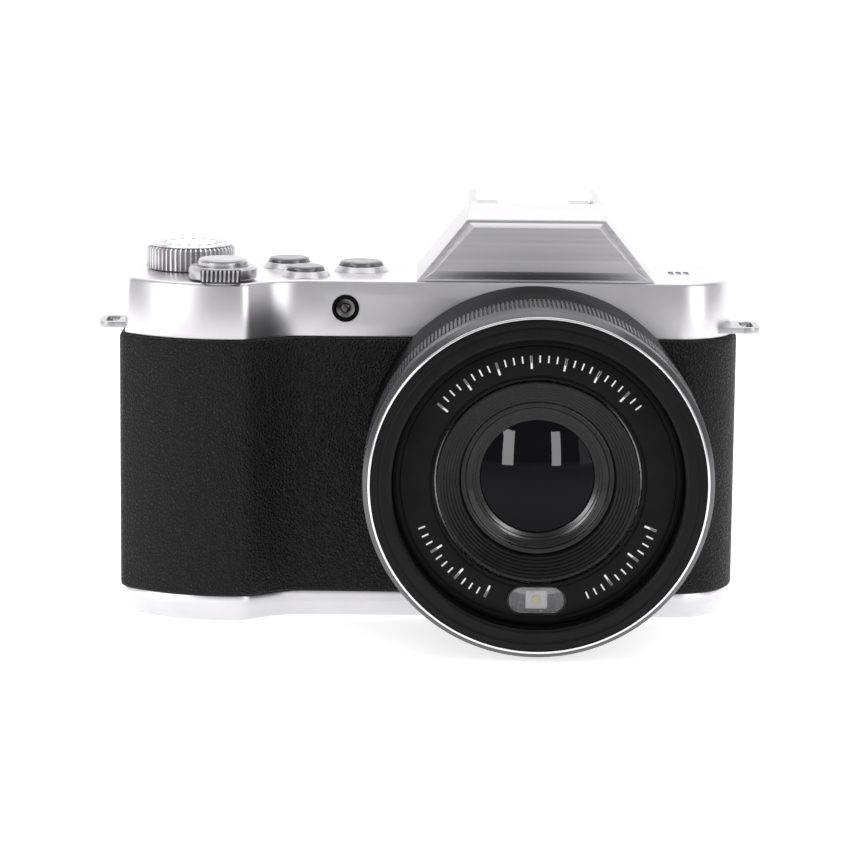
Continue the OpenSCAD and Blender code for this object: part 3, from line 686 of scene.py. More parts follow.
CARD = moulded_plastic("card_plastic", (0.02, 0.04, 0.12))
STEEL_PLATE = brushed_silver("frame_metal", (1, 1, 0.08), 0.5, 0.36)
# darker copy of the lever metal for the tab behind the ribs: painted shade between the ribs
LEVER_PAINTED_SHADE = turned_metal("lever_painted_shade", SHUTTER_AXIS, "Z", 0.07, 0.35)
# darker copy of the dial metal for the drum under the ribs: painted shade between and below the ribs
DIAL_PAINTED_SHADE = turned_metal("dial_painted_shade", DIAL_AXIS, "Z", 0.3, 0.35)
DIAL = turned_metal("dial_metal", DIAL_AXIS, "Z", 0.74, 0.24)
SHUTTER = turned_metal("shutter_metal", SHUTTER_AXIS, "Z", CAP_TINT + 0.3, 0.24)
LEVER = turned_metal("lever_metal", SHUTTER_AXIS, "Z", 0.52, 0.26)
COLLAR = moulded_metal("collar_metal", 0.56, 0.24)
BUSH = turned_metal("bush_metal", (0, 0, 0), "Z", 0.6, 0.25)


# ---------------------------------------------------------------- camera and light
VIEW_LENS = 149.1
VIEW_RISE = 10
VIEW_ROLL = 0.57
VIEW_TARGET = (0.06, -15.4, 34.0)
VIEW_DISTANCE = 0.617


def make_camera():
    cam = bpy.data.cameras.new("view")
    cam.sensor_width = 36
    cam.lens = VIEW_LENS
    cam.clip_start, cam.clip_end = 0.01, 50
    eye = linked("view", cam)
    rise = math.radians(VIEW_RISE)
    back = Vector((0, -math.cos(rise), math.sin(rise)))
    eye.location = Vector(VIEW_TARGET) * MM + back * VIEW_DISTANCE
    roll = Matrix.Rotation(math.radians(VIEW_ROLL), 4, "Z").to_quaternion()
    eye.rotation_mode = "QUATERNION"
    eye.rotation_quaternion = (-back).to_track_quat("-Z", "Y") @ roll
    bpy.context.scene.camera = eye


def softbox(name, place, aim, width, height, power):
    """A rectangular light at a place, turned towards a point, both in metres."""
    lamp_data = bpy.data.lights.new(name, "AREA")
    lamp_data.shape = "RECTANGLE"
    lamp_data.size, lamp_data.size_y = width, height
    lamp_data.energy = power
    box = linked(name, lamp_data)
    box.location = place
    box.rotation_mode = "QUATERNION"
    box.rotation_quaternion = (Vector(aim) - Vector(place)).to_track_quat("-Z", "Y")
    return box


# the two window lights shine on the pieces in this collection alone
LENS_GLASS = bpy.data.collections.new("lens_glass")


def make_studio():
    """A pale floor that curves up into a backdrop, with soft light from above and both sides."""
    pale = Finish("pale_floor", (0.8, 0.8, 0.8), 0.9, 0.0)
    pale.set("Specular IOR Level", 0.0)
    pale.set("Emission Color", (1, 1, 1, 1))
    depth = pale.node("ShaderNodeSeparateXYZ", {0: pale.coords}).outputs["Y"]
    glow = pale.ranged(depth, 0.12, 0.7, -0.26, -0.05, "SMOOTHSTEP")
    pale.tree.links.new(glow, pale.shader.inputs["Emission Strength"])
    grain = pale.noise(pale.coords, 30, 2, 0.5)
    pale.colours(grain, (0.79, 0.79, 0.79), (0.81, 0.81, 0.81))
    wide, deep, bend = 6.0, 3.0, 0.8
    section = [(-wide, 0.0), (deep - bend, 0.0)]
    section += [
        (deep - bend + bend * math.sin(a), bend - bend * math.cos(a))
        for a in [math.radians(9 * i) for i in range(1, 11)]
    ]
    section.append((deep, 5.0))
    points = [(x, y, z) for y, z in section for x in (-wide, wide)]
    faces = [[2 * i, 2 * i + 1, 2 * i + 3, 2 * i + 2] for i in range(len(section) - 1)]
    mesh = bpy.data.meshes.new("floor")
    mesh.from_pydata(points, [], faces)
    mesh.materials.append(pale.material)
    mesh.shade_smooth()
    linked("floor", mesh)

    world = bpy.data.worlds.new("studio")
    bpy.context.scene.world = world
    world.use_nodes = True
    tree = world.node_tree
    sky = tree.nodes["Background"]
    where = tree.nodes.new("ShaderNodeTexCoord")
    parts = tree.nodes.new("ShaderNodeSeparateXYZ")
    ramp = tree.nodes.new("ShaderNodeValToRGB")
    lift = tree.nodes.new("ShaderNodeMapRange")
    lift.inputs["From Min"].default_value = -1
    tree.links.new(where.outputs["Generated"], parts.inputs[0])
    tree.links.new(parts.outputs["Y"], lift.inputs["Value"])
    tree.links.new(lift.outputs["Result"], ramp.inputs["Fac"])
    tree.links.new(ramp.outputs["Color"], sky.inputs["Color"])
    stops = ramp.color_ramp.elements
    stops[0].position, stops[0].color = 0.0, (0.46, 0.455, 0.47, 1)
    stops[1].position, stops[1].color = 1.0, (1.0, 1.0, 1.0, 1)
    side = stops.new(0.45)
    side.color = (0.5, 0.495, 0.51, 1)
    sky.inputs["Strength"].default_value = 1.0

    softbox("overhead", (0, 0.1, 1.2), (0, 0, 0), 1.6, 1.0, 6)
    softbox("left_key", (-0.71, -0.6, 0.25), (0, 0, 0.03), 0.56, 0.8, 2.6)
    softbox("right_key", (0.65, -0.66, 0.25), (0, 0, 0.03), 0.5, 0.8, 2.3)
    windows = (
        softbox("left_window", (-0.22, -0.75, 0.08), (0.018, -0.04, 0.03), 0.1, 0.46, 3.6),
        softbox("right_window", (0.2, -0.75, 0.08), (0.018, -0.04, 0.03), 0.08, 0.44, 2.7),
    )
    for lamp_object in windows:
        lamp_object.light_linking.receiver_collection = LENS_GLASS
    bpy.context.scene.view_settings.view_transform = "Standard"


# ---------------------------------------------------------------- body
def shell_loops(outer, inner):
    """Loops of an open tray or cover, inner wall first, from pairs of height and inset."""
    return [[(p.x, p.y, z) for p in body_outline(inset)] for z, inset in inner + outer]


def round_slot(name, x, y, width, length, z0, z1):
    """A cutter with round ends, long across the depth."""
    half, reach = width / 2, length / 2 - width / 2
    ends = arc(Vector((x, y + reach)), half, 0, 180, 8) + arc(
        Vector((x, y - reach)), half, 180, 360, 8
    )
    return prism(name, ends, z0, z1)


def make_top_cover():
    outer = [
        (band_h, 1.25), (band_h + 0.12, 0.98), (band_h + 0.4, 0.92), (54.5, 1.25),
        (body_h - 0.6, 1.55), (body_h - 0.45, 1.6), (body_h - 0.15, 1.78), (body_h - 0.04, 1.92),
        (body_h, 2.15)
    ]
    inner = [(body_h - 1.3, 2.3), (band_h, 2.3)]
    cover = stacked("top_cover_shell", shell_loops(outer, inner))
    cutters = [rod("lens_hole", AXIS, 22.4, 5, 30, "Y", 96)]
    cutters.append(rod("lamp_hole", LAMP_AXIS, 2.36, 5, 30, "Y", 48))
    cutters.append(rod("dial_hole", dial, 3.1, 50, 70))
    cutters.append(rod("shutter_hole", shutter, 3.5, 50, 70))
    for node in TOP_BUTTONS:
        place = middle(node)
        cutters.append(rod(node + "_hole", place, button_radius(node) + 0.06, 50, 70))
    for i in (-1, 0, 1):
        x = MIC_X + MIC_PITCH * i
        cutters.append(round_slot(f"mic_{i + 1}", x, 0.9, 0.95, 4.8, body_h - MIC_DEPTH, 70))
    cutters.append(block("finder_hole", (lens.x - 9, -8, 55), (lens.x + 9, rear_d - 5, 70)))
    cover = carved(cover, cutters)
    finished(cover, BODY, SILVER, ["top_cover"])


def make_bottom_plate():
    outer = [
        (skirt_h, 0.85), (skirt_h - 0.1, 0.6), (skirt_h - 0.3, 0.52), (3.15, 0.55), (2.95, 0.62),
        (2.8, 0.72), (0.5, 1.95), (0.25, 2.12), (0.07, 2.35), (0, 2.75)
    ]
    inner = [(1.5, 2.9), (skirt_h, 2.9)]
    plate = stacked("bottom_plate_shell", shell_loops(outer, inner))
    lo, hi = low("battery_door"), high("battery_door")
    cutters = [
        block("door_hole", (lo.x - 0.25, lo.y - 0.25, -1), (hi.x + 0.25, hi.y + 0.25, 6)),
        rod("tripod_hole", (0, 0, 0), 5.2, -1, 8),
    ]
    for i, (x, y) in enumerate(screw_places()):
        cutters.append(
            turned(
                f"screw_hole_{i}", [(0, -1), (1.95, -1), (1.95, 0), (1.7, 0.3), (1.7, 4), (0, 4)],
                (x, y, 0), "Z", 40
            )
        )
    plate = carved(plate, cutters)
    lugs = []
    hinge_x = (low("door_hinge_pin").x + high("door_hinge_pin").x) / 2
    for i, y in enumerate((lo.y - 2.05, hi.y + 0.55)):
        lugs.append(block(f"door_lug_{i}", (hinge_x - 1.3, y, 1.3), (hinge_x + 1.3, y + 1.5, 2.6)))
    plate = joined("bottom_plate_shell", [plate] + lugs)
    finished(plate, BODY, SILVER, ["bottom_plate"])


def make_leatherette():
    """Covering wrapped round the front, with rolled edges, parted by the lens and the port flap."""
    outer = [
        (skirt_h + 0.02, 0.5), (skirt_h + 0.14, 0.2), (skirt_h + 0.4, 0.05), (skirt_h + 0.8, 0)
    ]
    outer += [(skirt_h + (band_h - skirt_h) * i / 8, 0) for i in range(1, 8)]
    outer += [(band_h - 0.8, 0), (band_h - 0.4, 0.05), (band_h - 0.14, 0.2), (band_h - 0.02, 0.5)]
    outer.append((band_h - 0.02, SKIN_T))
    skin = stacked("leatherette_skin", shell_loops(outer, [(skirt_h + 0.02, SKIN_T)]), True)
    lo, hi = low("port_flap"), high("port_flap")
    cutters = [
        block("rear_half", (-70, SPLIT_Y - 0.1, 0), (70, 40, 70)),
        rod("lens_cut", AXIS, 29.12, 5, 30, "Y", 160),
        block("flap_cut", (half_w - 4, lo.y - 0.25, lo.z - 0.25), (half_w + 4, 20, hi.z + 0.25)),
    ]
    skin = carved(skin, cutters)
    finished(skin, BODY, LEATHER, ["leatherette"])


def make_casings():
    dressed("rear_casing", 0.35, 3, PLASTIC)
    pad = softened("thumb_pad", 0.4, 3)
    nub = turned(
        "nub", rounded([(0, 0), (0.42, 0), (0.42, 0.28), (0, 0.34)], 0.15), (0, 0, 0), "Z", 12
    )
    nub.data.transform(Matrix.Rotation(math.radians(-90), 4, "X"))
    place = middle("thumb_pad")
    rows = []
    for row in range(5):
        copy = linked(f"nub_{row}", nub.data.copy())
        start = (
            place.x - 8.4 + 0.7 * (row % 2), high("thumb_pad").y - 0.06, place.z - 3.2 + 1.6 * row
        )
        rows.append(repeated(copy, LINE_TREE, RUBBER, 12, (1.4, 0, 0), start))
    bpy.data.objects.remove(nub)
    finished(joined("thumb_pad_grip", [pad] + rows), BODY, RUBBER, ["thumb_pad"])


def make_hump():
    dressed("finder_housing", 0.4, 3, HUMP)
    dressed("finder_face", 0.16, 2, PANEL, angle=14)
    dressed("shoe_rails", 0.14, 2, SATIN)
    dressed("shoe_base", 0.06, 1, PLASTIC)
    dressed("shoe_spring", 0.05, 1, STEEL)


def make_strap_lugs():
    for side in ("left", "right"):
        dressed("strap_lug_" + side, 0.22, 3, SATIN)


def make_focus_lamp():
    front = -low("focus_lamp_bezel").y
    back = front - 2.1
    bezel = [
        (1.6, back), (2.35, back), (2.35, front - 0.1), (2.25, front), (1.9, front),
        (1.6, front - 0.5)
    ]
    lathed(
        "focus_lamp_ring", bezel, 0.1, BARREL, "black_plastic", ["focus_lamp_bezel"],
        centre=LAMP_AXIS, segments=72
    )
    cone = [(0.7, back + 0.2), (1.62, back + 0.2), (1.62, front - 0.45), (0.8, front - 1.1)]
    lathed("focus_lamp_cup", cone, 0.06, GREY_LINE, "black_plastic", centre=LAMP_AXIS, segments=72)
    dome = [(0, back)] + [(1.6, back)] + [
        (1.6 * math.cos(math.radians(a)), front - 0.85 + 0.4 * math.sin(math.radians(a)))
        for a in range(0, 91, 10)
    ]
    dome[-1] = (0, front - 0.45)
    glass = turned(
        "focus_lamp_glass", [(p[0] * 0.56, p[1] - 0.25) for p in dome], LAMP_AXIS, "Y", 48
    )
    finished(glass, BODY, RED, ["focus_lamp_lens"])


# ---------------------------------------------------------------- lens
def make_lens_body():
    guide, spigot = 21.7, 22.3
    seat = FRONT_D - 0.45
    base_r = high("lens_base_barrel").x - lens.x
    profile = [
        (guide, 11.5), (spigot, 11.5), (spigot, seat), (base_r, seat), (base_r, base_front_step),
        (base_r - 0.3, ring_back), (27.2, ring_back), (27.2, base_front - 0.1),
        (25.3, base_front - 0.1), (25.3, seat + 1.6), (guide, seat + 1.6)
    ]
    lathed("lens_base", profile, 0.25, BARREL, "lens_black", ["lens_base_barrel"], segments=192)

    ring_r = high("control_ring").x - lens.x
    root = ring_r - 0.32
    band = KNURL_END + 0.3
    profile = [
        (27.3, ring_back), (root - 0.2, ring_back), (root, ring_back + 0.2), (root, KNURL_END),
        (root - 0.2, KNURL_END), (root - 0.2, band), (27.3, band)
    ]
    # the core under the teeth takes the darker knurl metal: painted shade between the teeth
    lathed("control_ring_core", profile, 0.05, KNURL_PAINTED_SHADE, "knurled_metal", body="control_ring")
    profile = [
        (27.3, band), (ring_r - 0.25, band), (ring_r - 0.1, band + 0.15),
        (ring_r - 0.1, ring_front - 0.1), (ring_r - 0.2, ring_front), (27.3, ring_front)
    ]
    ring = turned("control_ring_band", rounded(profile, 0.06), AXIS, segments=256)

    half, foot = math.pi * ring_r / RING_TEETH * 0.74, root - 0.05
    crest = half * 0.62
    span = [ring_back + 0.2, ring_back + 0.6, KNURL_END - 0.3, KNURL_END - 0.02]
    rise = [root - 0.02, ring_r, ring_r, root + 0.1]
    loops = [
        [(-half, -f, foot), (-crest, -f, r), (crest, -f, r), (half, -f, foot)]
        for f, r in zip(span, rise)
    ]
    tooth = stacked("ring_tooth", loops)
    teeth = repeated(tooth, TURN_TREE, KNURL, RING_TEETH, (0, 360 / RING_TEETH, 0), AXIS)
    ring = joined("control_ring_knurl", [ring, teeth])
    finished(ring, "control_ring", KNURL, ["control_ring"])

    line_r = 28.35
    cone = [
        (line_r - 0.3, base_front + 0.05), (ring_r - 0.25, base_front + 0.05),
        (ring_r - 0.12, base_front + 0.2), (line_r, lens_front - 0.42),
        (line_r - 0.3, lens_front - 0.42)
    ]
    lathed("lens_rim", cone, 0.08, RIM, "polished_metal", ["lens_bevel_ring"])
    edge = [
        (27.95, base_front + 0.1), (line_r - 0.32, base_front + 0.1),
        (line_r - 0.32, lens_front - 0.44), (line_r, lens_front - 0.44),
        (line_r - 0.04, lens_front - 0.16), (28.1, lens_front), (27.95, lens_front)
    ]
    lathed("lens_rim_bead", edge, 0.1, BEAD, "polished_metal")


def make_lens_face():
    face_r, dish_r = 27.9, 24.3
    front = lens_front - 0.25
    profile = [
        (26.4, base_front), (face_r, base_front), (face_r, front), (26.75, front),
        (26.65, front - 0.14), (26.45, front - 0.14), (26.3, front - 0.02),
        (dish_r + 0.6, front - 0.02), (dish_r + 0.08, front - 0.45), (dish_r, dish_f - 2.25),
        (25.2, dish_f - 2.25), (25.2, base_front)
    ]
    lathed("lens_face", profile, 0.1, FACE, "lens_black", ["lens_face_ring"])

    profile = [
        (17.25, dish_f - 0.9), (24.2, dish_f - 0.9), (24.2, dish_f - 0.25), (23.3, dish_f - 0.1),
        (23.2, dish_f - 0.3), (23.0, dish_f - 0.3), (22.9, dish_f - 0.08), (18.1, dish_f + 0.05),
        (18.0, dish_f - 0.15), (17.85, dish_f - 0.15), (17.75, dish_f + 0.08), (17.3, dish_f + 0.08)
    ]
    dish = turned("lens_dish", rounded(profile, 0.06, 2), AXIS, segments=256)
    cutter = window_prism("window_cut", window_size[0], window_size[1], dish_f - 3, dish_f + 2)
    dish = carved(dish, [cutter])
    finished(dish, BODY, DISH, ["lens_dish_ring"])

    profile = [
        (6.6, 1.4), (21.6, 1.4), (21.6, dish_f - 2.3), (24.2, dish_f - 2.3), (24.2, dish_f - 0.95),
        (19.2, dish_f - 0.95), (19.2, dish_f - 2.1), (19.7, dish_f - 2.1), (19.7, 3), (6.6, 3)
    ]
    lathed(
        "lens_sleeve", profile, 0.1, BARREL, "black_plastic", ["lens_guide_sleeve"], segments=128
    )


def window_prism(name, width, height, f0, f1, inset=0.0):
    """A stadium on the macro light's centre, raised forwards between two distances."""
    r = height / 2 - inset
    reach = width / 2 - height / 2
    ring = arc(Vector((reach, 0)), r, -90, 90, 16) + arc(Vector((-reach, 0)), r, 90, 270, 16)
    loops = [[(window.x + p.x, -f, window.z + p.y) for p in ring] for f in (f0, f1)]
    return stacked(name, loops)


def make_macro_light():
    w, h = window_size
    inner = window_prism("light_inner", w, h, dish_f - 2, dish_f + 2, 0.42)
    rim = carved(window_prism("macro_light_rim", w, h, dish_f - 0.6, dish_f + 0.12, 0.06), [inner])
    finished(bevelled(rim, 0.08, 2), BODY, BAFFLE)
    front = -low("macro_light_window").y
    pane = bevelled(window_prism("macro_light_pane", w, h, front - 0.35, front, 0.44), 0.1, 2)
    finished(pane, BODY, WINDOW, ["macro_light_window"])
    lo, hi = low("macro_led"), high("macro_led")
    x, z = middle("macro_led").x, middle("macro_led").z
    pocket = window_prism("macro_light_pocket", w, h, dish_f - 1.3, dish_f - 0.95, 0.1)
    finished(pocket, BODY, POCKET)
    cup = bevelled(block("cup", (x - 1.8, hi.y - 0.3, z - 1.5), (x + 1.8, hi.y, z + 1.5)), 0.12, 2)
    finished(cup, BODY, MARK_WHITE)
    chip = turned(
        "macro_light_chip",
        rounded([(0, -hi.y + 0.2), (0.8, -hi.y + 0.2), (0.8, -lo.y), (0, -lo.y)], 0.2), (x, 0, z),
        "Y", 32
    )
    finished(chip, BODY, EMITTER, ["macro_led"])
    cup.name = "macro_light_cup"


def make_zoom_barrels():
    """Two barrels whose mouths step inwards in fine ridges, and the glass behind them."""
    front = -low("outer_zoom_barrel").y
    outer_r = high("outer_zoom_barrel").x - lens.x
    bore = 13.02
    profile = [
        (bore, 10), (outer_r, 10), (outer_r, front - 0.15), (outer_r - 0.15, front),
        (outer_r - 0.7, front)
    ]
    steps = 6
    for i in range(steps):
        r = outer_r - 0.75 - i * 0.52
        depth = front - 0.35 - i * 0.46
        profile += [(r, depth), (r - 0.42, depth)]
    profile.append((bore, front - 0.35 - steps * 0.46))
    lathed(
        "outer_barrel_shell", profile, 0.07, BAFFLE, "lens_black", ["outer_zoom_barrel"],
        body="outer_barrel", steps=2
    )

    front = -low("inner_zoom_barrel").y
    inner_r = high("inner_zoom_barrel").x - lens.x
    glass_r = high("front_lens").x - lens.x
    profile = [
        (inner_r - 1.3, 12), (inner_r, 12), (inner_r, front - 0.12), (inner_r - 0.12, front),
        (inner_r - 0.85, front), (inner_r - 1.05, front - 0.35), (inner_r - 1.15, front - 0.35),
        (inner_r - 1.95, front - 0.8), (inner_r - 2.05, front - 0.8), (inner_r - 2.1, front - 1.15),
        (inner_r - 2.55, front - 1.2), (inner_r - 2.6, front - 1.45), (glass_r + 0.04, front - 1.5),
        (glass_r + 0.04, front - 7), (inner_r - 1.3, front - 8)
    ]
    barrel = lathed(
        "inner_barrel_shell", profile, 0.08, BAFFLE, "lens_black", ["inner_zoom_barrel"],
        body="inner_barrel", steps=2
    )
    LENS_GLASS.objects.link(barrel)

    lo, hi = low("front_lens"), high("front_lens")
    peak, back = -lo.y, -hi.y
    sag = 1.6
    edge = peak - sag
    radius = (glass_r**2 + sag**2) / (2 * sag)
    dome = []
    for i in range(15):
        a = math.asin(glass_r / radius) * (14 - i) / 14
        dome.append((radius * math.sin(a), peak - radius * (1 - math.cos(a))))
    dome[-1] = (0, peak)
    glass = turned(
        "front_glass", [(0, edge - 1.0), (glass_r, edge - 1.0)] + dome, AXIS, segments=128
    )
    finished(glass, "inner_barrel", GLASS, ["front_lens"])
    LENS_GLASS.objects.link(glass)
    spread, deep_r = math.radians(40), 8.2
    inner = []
    for i in range(13):
        a = spread * (12 - i) / 12
        rise = 5.5 * (math.cos(a) - math.cos(spread))
        inner.append((deep_r * math.sin(a) / math.sin(spread), back + 0.9 + rise))
    inner[-1] = (0, inner[-1][1])
    deep = turned("second_glass", [(0, back), (deep_r, back)] + inner, AXIS, segments=96)
    finished(deep, "inner_barrel", DEEP_GLASS)
    stop = [
        (8.0, back - 0.4), (glass_r, back - 0.4), (glass_r, edge - 1.05), (8.9, edge - 1.05),
        (8.3, back + 1.2)
    ]
    lathed(
        "glass_seat", stop, 0.08, BARREL, "lens_black", body="inner_barrel", steps=2, segments=96
    )


MARK_R = 21.4
MARK_STEP = 4.0
MARK_ARCS = ((-52, 27), (112, 12), (-156, 12))
MARK_STROKES = ((2.2, 0.34, 4), (1.2, 0.24, 1))


def make_scale_marks():
    """Plain scale marks on the dish: long and short strokes over three arcs."""
    top = dish_f + 0.06
    marks = []
    for i, (start, count) in enumerate(MARK_ARCS):
        for length, width, every in MARK_STROKES:
            half, foot = width / 2, MARK_R - length
            outline = [(-half, foot), (half, foot), (half, MARK_R), (-half, MARK_R)]
            loops = [[(x, -f, z) for x, z in outline] for f in (top - 0.1, top + 0.02)]
            stroke = stacked(f"stroke_{i}_{every}", loops)
            number = (count + every - 1) // every
            turn = (0, MARK_STEP * every, 0)
            marks.append(repeated(stroke, TURN_TREE, MARK_WHITE, number, turn, AXIS, (0, start, 0)))
    finished(joined("lens_scale_marks", marks), BODY, MARK_WHITE)


# ---------------------------------------------------------------- top controls
TOP_BUTTONS = ("top_button_rear", "top_button_front", "top_button_side")


def button_radius(node):
    return (high(node).x - low(node).x) / 2 - 0.6


def make_mode_dial():
    base = body_h
    lo, hi = low("mode_dial"), high("mode_dial")
    r = (hi.x - lo.x) / 2
    root = r - 0.42
    top = high("mode_dial_cap").z
    profile = [
        (0, lo.z), (2.95, lo.z), (2.95, base + 0.1), (root - 0.1, base + 0.1), (root, base + 0.2),
        (root, top - 0.75), (root - 0.35, top - 0.5), (0, top - 0.5)
    ]
    drum = turned("drum", rounded(profile, 0.1), dial, "Z", 128)
    foot = root - 0.1
    crests = [
        (base + 0.12, root + 0.2), (base + 0.3, r), (top - 0.95, r), (top - 0.55, root + 0.05)
    ]
    loops = [[(foot, -0.24, z), (q, -0.13, z), (q, 0.13, z), (foot, 0.24, z)] for z, q in crests]
    rib = stacked("dial_rib", loops)
    ribs = repeated(rib, TURN_TREE, DIAL, DIAL_RIBS, (0, 0, 360 / DIAL_RIBS), DIAL_AXIS)
    # the drum under the ribs takes the darker dial metal: painted shade between and below the ribs
    finished(drum, "mode_dial", DIAL_PAINTED_SHADE)
    drum.name = "mode_dial_drum"
    finished(ribs, "mode_dial", DIAL, ["mode_dial"])
    ribs.name = "mode_dial_ribs"
    cap_r = root - 0.15
    profile = [
        (0, top - 0.5), (cap_r, top - 0.5), (cap_r + 0.1, top - 0.4), (cap_r - 0.25, top - 0.06),
        (cap_r - 0.45, top), (cap_r - 0.8, top), (cap_r - 0.95, top - 0.12), (0, top - 0.12)
    ]
    lathed(
        "mode_dial_top", profile, 0.06, DIAL, "button_metal", ["mode_dial_cap"], body="mode_dial",
        centre=dial, axis="Z", segments=128
    )
    stroke = prism(
        "stroke", [(-0.16, 4.3), (0.16, 4.3), (0.16, 5.5), (-0.16, 5.5)], top - 0.2, top - 0.1
    )
    dots = turned(
        "dot", [(0, top - 0.2), (0.28, top - 0.2), (0.28, top - 0.1), (0, top - 0.1)], (0, 4.9, 0),
        "Z", 16
    )
    strokes = repeated(stroke, TURN_TREE, MARK_GREY, 8, (0, 0, 45), DIAL_AXIS)
    dots = repeated(dots, TURN_TREE, MARK_GREY, 8, (0, 0, 45), DIAL_AXIS, (0, 0, 22.5))
    finished(
        joined("mode_dial_marks", [strokes, dots]), "mode_dial", MARK_GREY
    )


def make_shutter():
    top = high("shutter_button").z
    lever_top = high("zoom_lever").z
    cap = 4.3
    profile = [
        (0, body_h - 3.6), (2.24, body_h - 3.6), (2.24, lever_top - 0.7),
        (cap - 0.05, lever_top - 0.7), (cap, lever_top + 0.2), (cap, top - 0.55),
        (cap - 0.2, top - 0.2), (cap - 0.6, top - 0.02), (cap - 1.4, top), (cap - 2.6, top - 0.12),
        (0, top - 0.22)
    ]
    lathed(
        "shutter_cap", profile, 0.15, SHUTTER, "button_metal", ["shutter_button"],
        body="shutter_button", steps=4, centre=shutter, axis="Z", segments=96
    )

    r = 5.9
    low_z = body_h + 0.25
    profile = [
        (2.35, body_h - 2.4), (4.2, body_h - 2.4), (4.2, body_h - 1.8), (3.4, body_h - 1.7),
        (3.4, low_z), (r - 0.3, low_z), (r, low_z + 0.3), (r, lever_top - 0.45),
        (r - 0.45, lever_top), (cap + 0.3, lever_top), (cap + 0.14, lever_top - 0.2),
        (cap + 0.14, body_h + 0.6), (2.35, body_h + 0.6)
    ]
    ring = turned("lever_ring", rounded(profile, 0.12), shutter, "Z", 128)
    reach = shutter.y - low("zoom_lever").y
    tab_top = lever_top - 0.12
    outline = [
        (-3.45, -4.55), (3.45, -4.55), (3.45, -reach + 0.85), (3.2, -reach + 0.6),
        (-3.2, -reach + 0.6), (-3.45, -reach + 0.85)
    ]
    outline = [(shutter.x + x, shutter.y + y) for x, y in outline]
    tab = prism("lever_tab", outline, low_z + 0.1, tab_top, 0.25, 3)
    rib_outline = [(-0.24, 0.8), (0.24, 0.8), (0.2, 0.1), (0.1, 0), (-0.1, 0), (-0.2, 0.1)]
    rib_steps = [
        (low_z + 0.2, 0.2), (low_z + 0.45, 0), (tab_top - 0.5, 0), (tab_top - 0.08, 0.35),
        (tab_top - 0.02, 0.6)
    ]
    loops = [[(x, y + d, z) for x, y in rib_outline] for z, d in rib_steps]
    rib = stacked("lever_rib", loops)
    ribs = repeated(
        rib, LINE_TREE, LEVER, LEVER_RIBS, (LEVER_PITCH, 0, 0),
        (shutter.x - 4 * LEVER_PITCH, shutter.y - reach + 0.02, 0)
    )
    # the tab behind the ribs takes the darker lever metal: painted shade between the ribs
    finished(tab, "zoom_lever", LEVER_PAINTED_SHADE)
    tab.name = "zoom_lever_tab"
    finished(
        joined("zoom_lever_ring", [ring, ribs]), "zoom_lever", LEVER, ["zoom_lever"],
    )


def make_top_buttons():
    collars = []
    for node in TOP_BUTTONS:
        place, r, top = middle(node), button_radius(node), high(node).z
        profile = [
            (0, low(node).z), (r + 0.6, low(node).z), (r + 0.6, low(node).z + 0.7),
            (r, low(node).z + 0.7), (r, top - 0.45), (r - 0.12, top - 0.18), (r - 0.45, top - 0.01),
            (r - 1.2, top), (0, top - 0.08)
        ]
        metal = turned_metal(node + "_metal", (place.x, place.y, 0), "Z", CAP_TINT, 0.24)
        lathed(
            node + "_cap", profile, 0.1, metal, "button_metal", [node], body=node, steps=4,
            centre=place, axis="Z", segments=96
        )
        inner = r + 0.08
        ring = [
            (inner, body_h - 0.3), (r + 1.05, body_h - 0.3), (r + 1.05, body_h + 0.05),
            (r + 0.95, body_h + 0.16), (inner + 0.28, body_h + 0.92), (inner + 0.12, body_h + 1.0),
            (inner, body_h + 0.96)
        ]
        collars.append(turned(node + "_collar", rounded(ring, 0.06, 3), place, "Z", 128))
    finished(
        joined("button_collar_rings", collars), BODY, COLLAR, ["button_collars"]
    )


# ---------------------------------------------------------------- rear, bottom and ends
def make_rear():
    rear_buttons = {
        "four_way_pad": 0.45, "set_button": 0.35, "menu_button": 0.28, "playback_button": 0.28
    }
    for node, width in rear_buttons.items():
        place = middle(node)
        metal = turned_metal(node + "_metal", (place.x, 0, place.z), "Y", 0.7, 0.28)
        dressed(node, width, 4, metal, body=node)
    dressed("display_window", 0.25, 3, SCREEN)
    dressed("eyepiece_frame", 0.5, 4, RUBBER)
    dressed("eyepiece_glass", 0.1, 2, SCREEN)


def screw_places():
    """Middles of the screw heads, found as the separate parts of their CAD node."""
    whole = bmesh.new()
    whole.from_mesh(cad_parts["casing_screws"].data)
    bmesh.ops.remove_doubles(whole, verts=whole.verts, dist=1e-6)
    places, seen = [], set()
    for start in whole.verts:
        if start in seen:
            continue
        group, todo = [], [start]
        seen.add(start)
        while todo:
            v = todo.pop()
            group.append(v.co)
            for edge in v.link_edges:
                other = edge.other_vert(v)
                if other not in seen:
                    seen.add(other)
                    todo.append(other)
        xs, ys = [c.x for c in group], [c.y for c in group]
        places.append(((min(xs) + max(xs)) / 2 / MM, (min(ys) + max(ys)) / 2 / MM))
    whole.free()
    return places


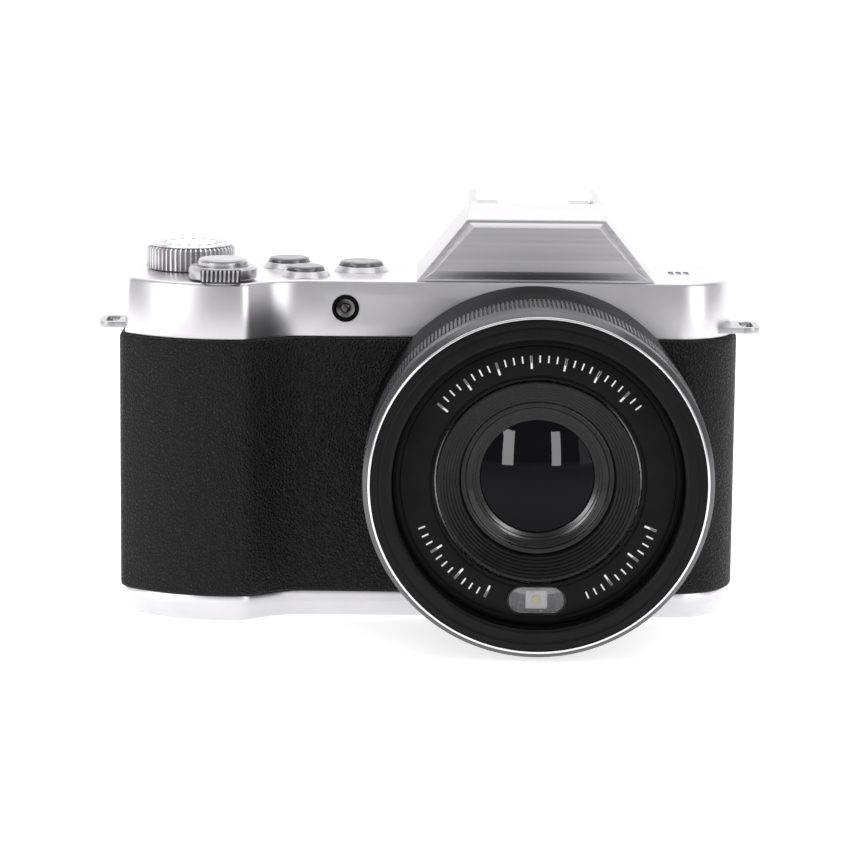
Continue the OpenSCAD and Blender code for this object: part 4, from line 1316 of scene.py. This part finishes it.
def make_bottom_details():
    heads = []
    for i, (x, y) in enumerate(screw_places()):
        profile = [
            (0, 0.25), (1.35, 0.22), (1.6, 0.42), (1.6, 1.2), (0.9, 1.25), (0.9, 4.2), (0, 4.2)
        ]
        head = turned(f"screw_{i}", rounded(profile, 0.1), (x, y, 0), "Z", 40)
        turn = Matrix.Rotation(math.radians(25 + 31 * i), 2)
        cuts = []
        for k, (a, b) in enumerate(((0.95, 0.17), (0.17, 0.95))):
            corners = [turn @ Vector(c) for c in ((-a, -b), (a, -b), (a, b), (-a, b))]
            cuts.append(prism(f"cross_{i}_{k}", [(x + c.x, y + c.y) for c in corners], -1, 0.95))
        heads.append(carved(head, cuts))
    finished(joined("casing_screw_heads", heads), BODY, STEEL, ["casing_screws"])

    top, bore = high("tripod_bush").z, 2.62
    depth = 5.5
    profile = [(0, depth + 0.02), (bore, depth + 0.02)]
    pitch = 1.27
    z = depth - 0.3
    while z - pitch > 0.2:
        profile += [
            (bore, z), (bore + 0.5, z - pitch * 0.45), (bore + 0.5, z - pitch * 0.55),
            (bore, z - pitch)
        ]
        z -= pitch
    profile += [
        (bore, 0.45), (bore + 0.45, 0.0), (5.15, 0), (5.15, 1.5), (7, 1.5), (7, 2.7), (5.15, 2.7),
        (5.15, top), (0, top)
    ]
    pairs = zip(profile[1:], profile)
    clean = profile[:1] + [p for p, q in pairs if (Vector(p) - Vector(q)).length > 0.02]
    bush = turned("tripod_thread", clean, (0, 0, 0), "Z", 96)
    finished(bush, BODY, BUSH, ["tripod_bush"])

    dressed("battery_door", 0.22, 2, SILVER, body="battery_door")
    dressed("door_latch", 0.08, 2, PLASTIC, body="door_latch")
    dressed("port_flap", 0.3, 3, RUBBER, body="port_flap")


def dress_inner_nodes():
    """The CAD nodes whose shape is right keep it and get a finish on their own material slots."""
    finishes = {
        INNER: ["front_casing", "display_module", "finder_display"],
        STEEL_PLATE: ["frame_plate"],
        BOARD: ["main_board", "control_board", "image_sensor"],
        STEEL: ["zoom_motor", "usb_socket", "door_hinge_pin"],
        BRASS: ["cam_ring", "shoe_contacts"],
        WRAP: ["battery"],
        CARD: ["memory_card"],
    }
    for finish, nodes in finishes.items():
        for node in nodes:
            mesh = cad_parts[node].data
            mesh.materials.clear()
            mesh.materials.append(finish)


make_camera()
make_studio()
make_top_cover()
make_bottom_plate()
make_leatherette()
make_casings()
make_hump()
make_strap_lugs()
make_focus_lamp()
make_lens_body()
make_lens_face()
make_macro_light()
make_zoom_barrels()
make_scale_marks()
make_mode_dial()
make_shutter()
make_top_buttons()
make_rear()
make_bottom_details()
dress_inner_nodes()
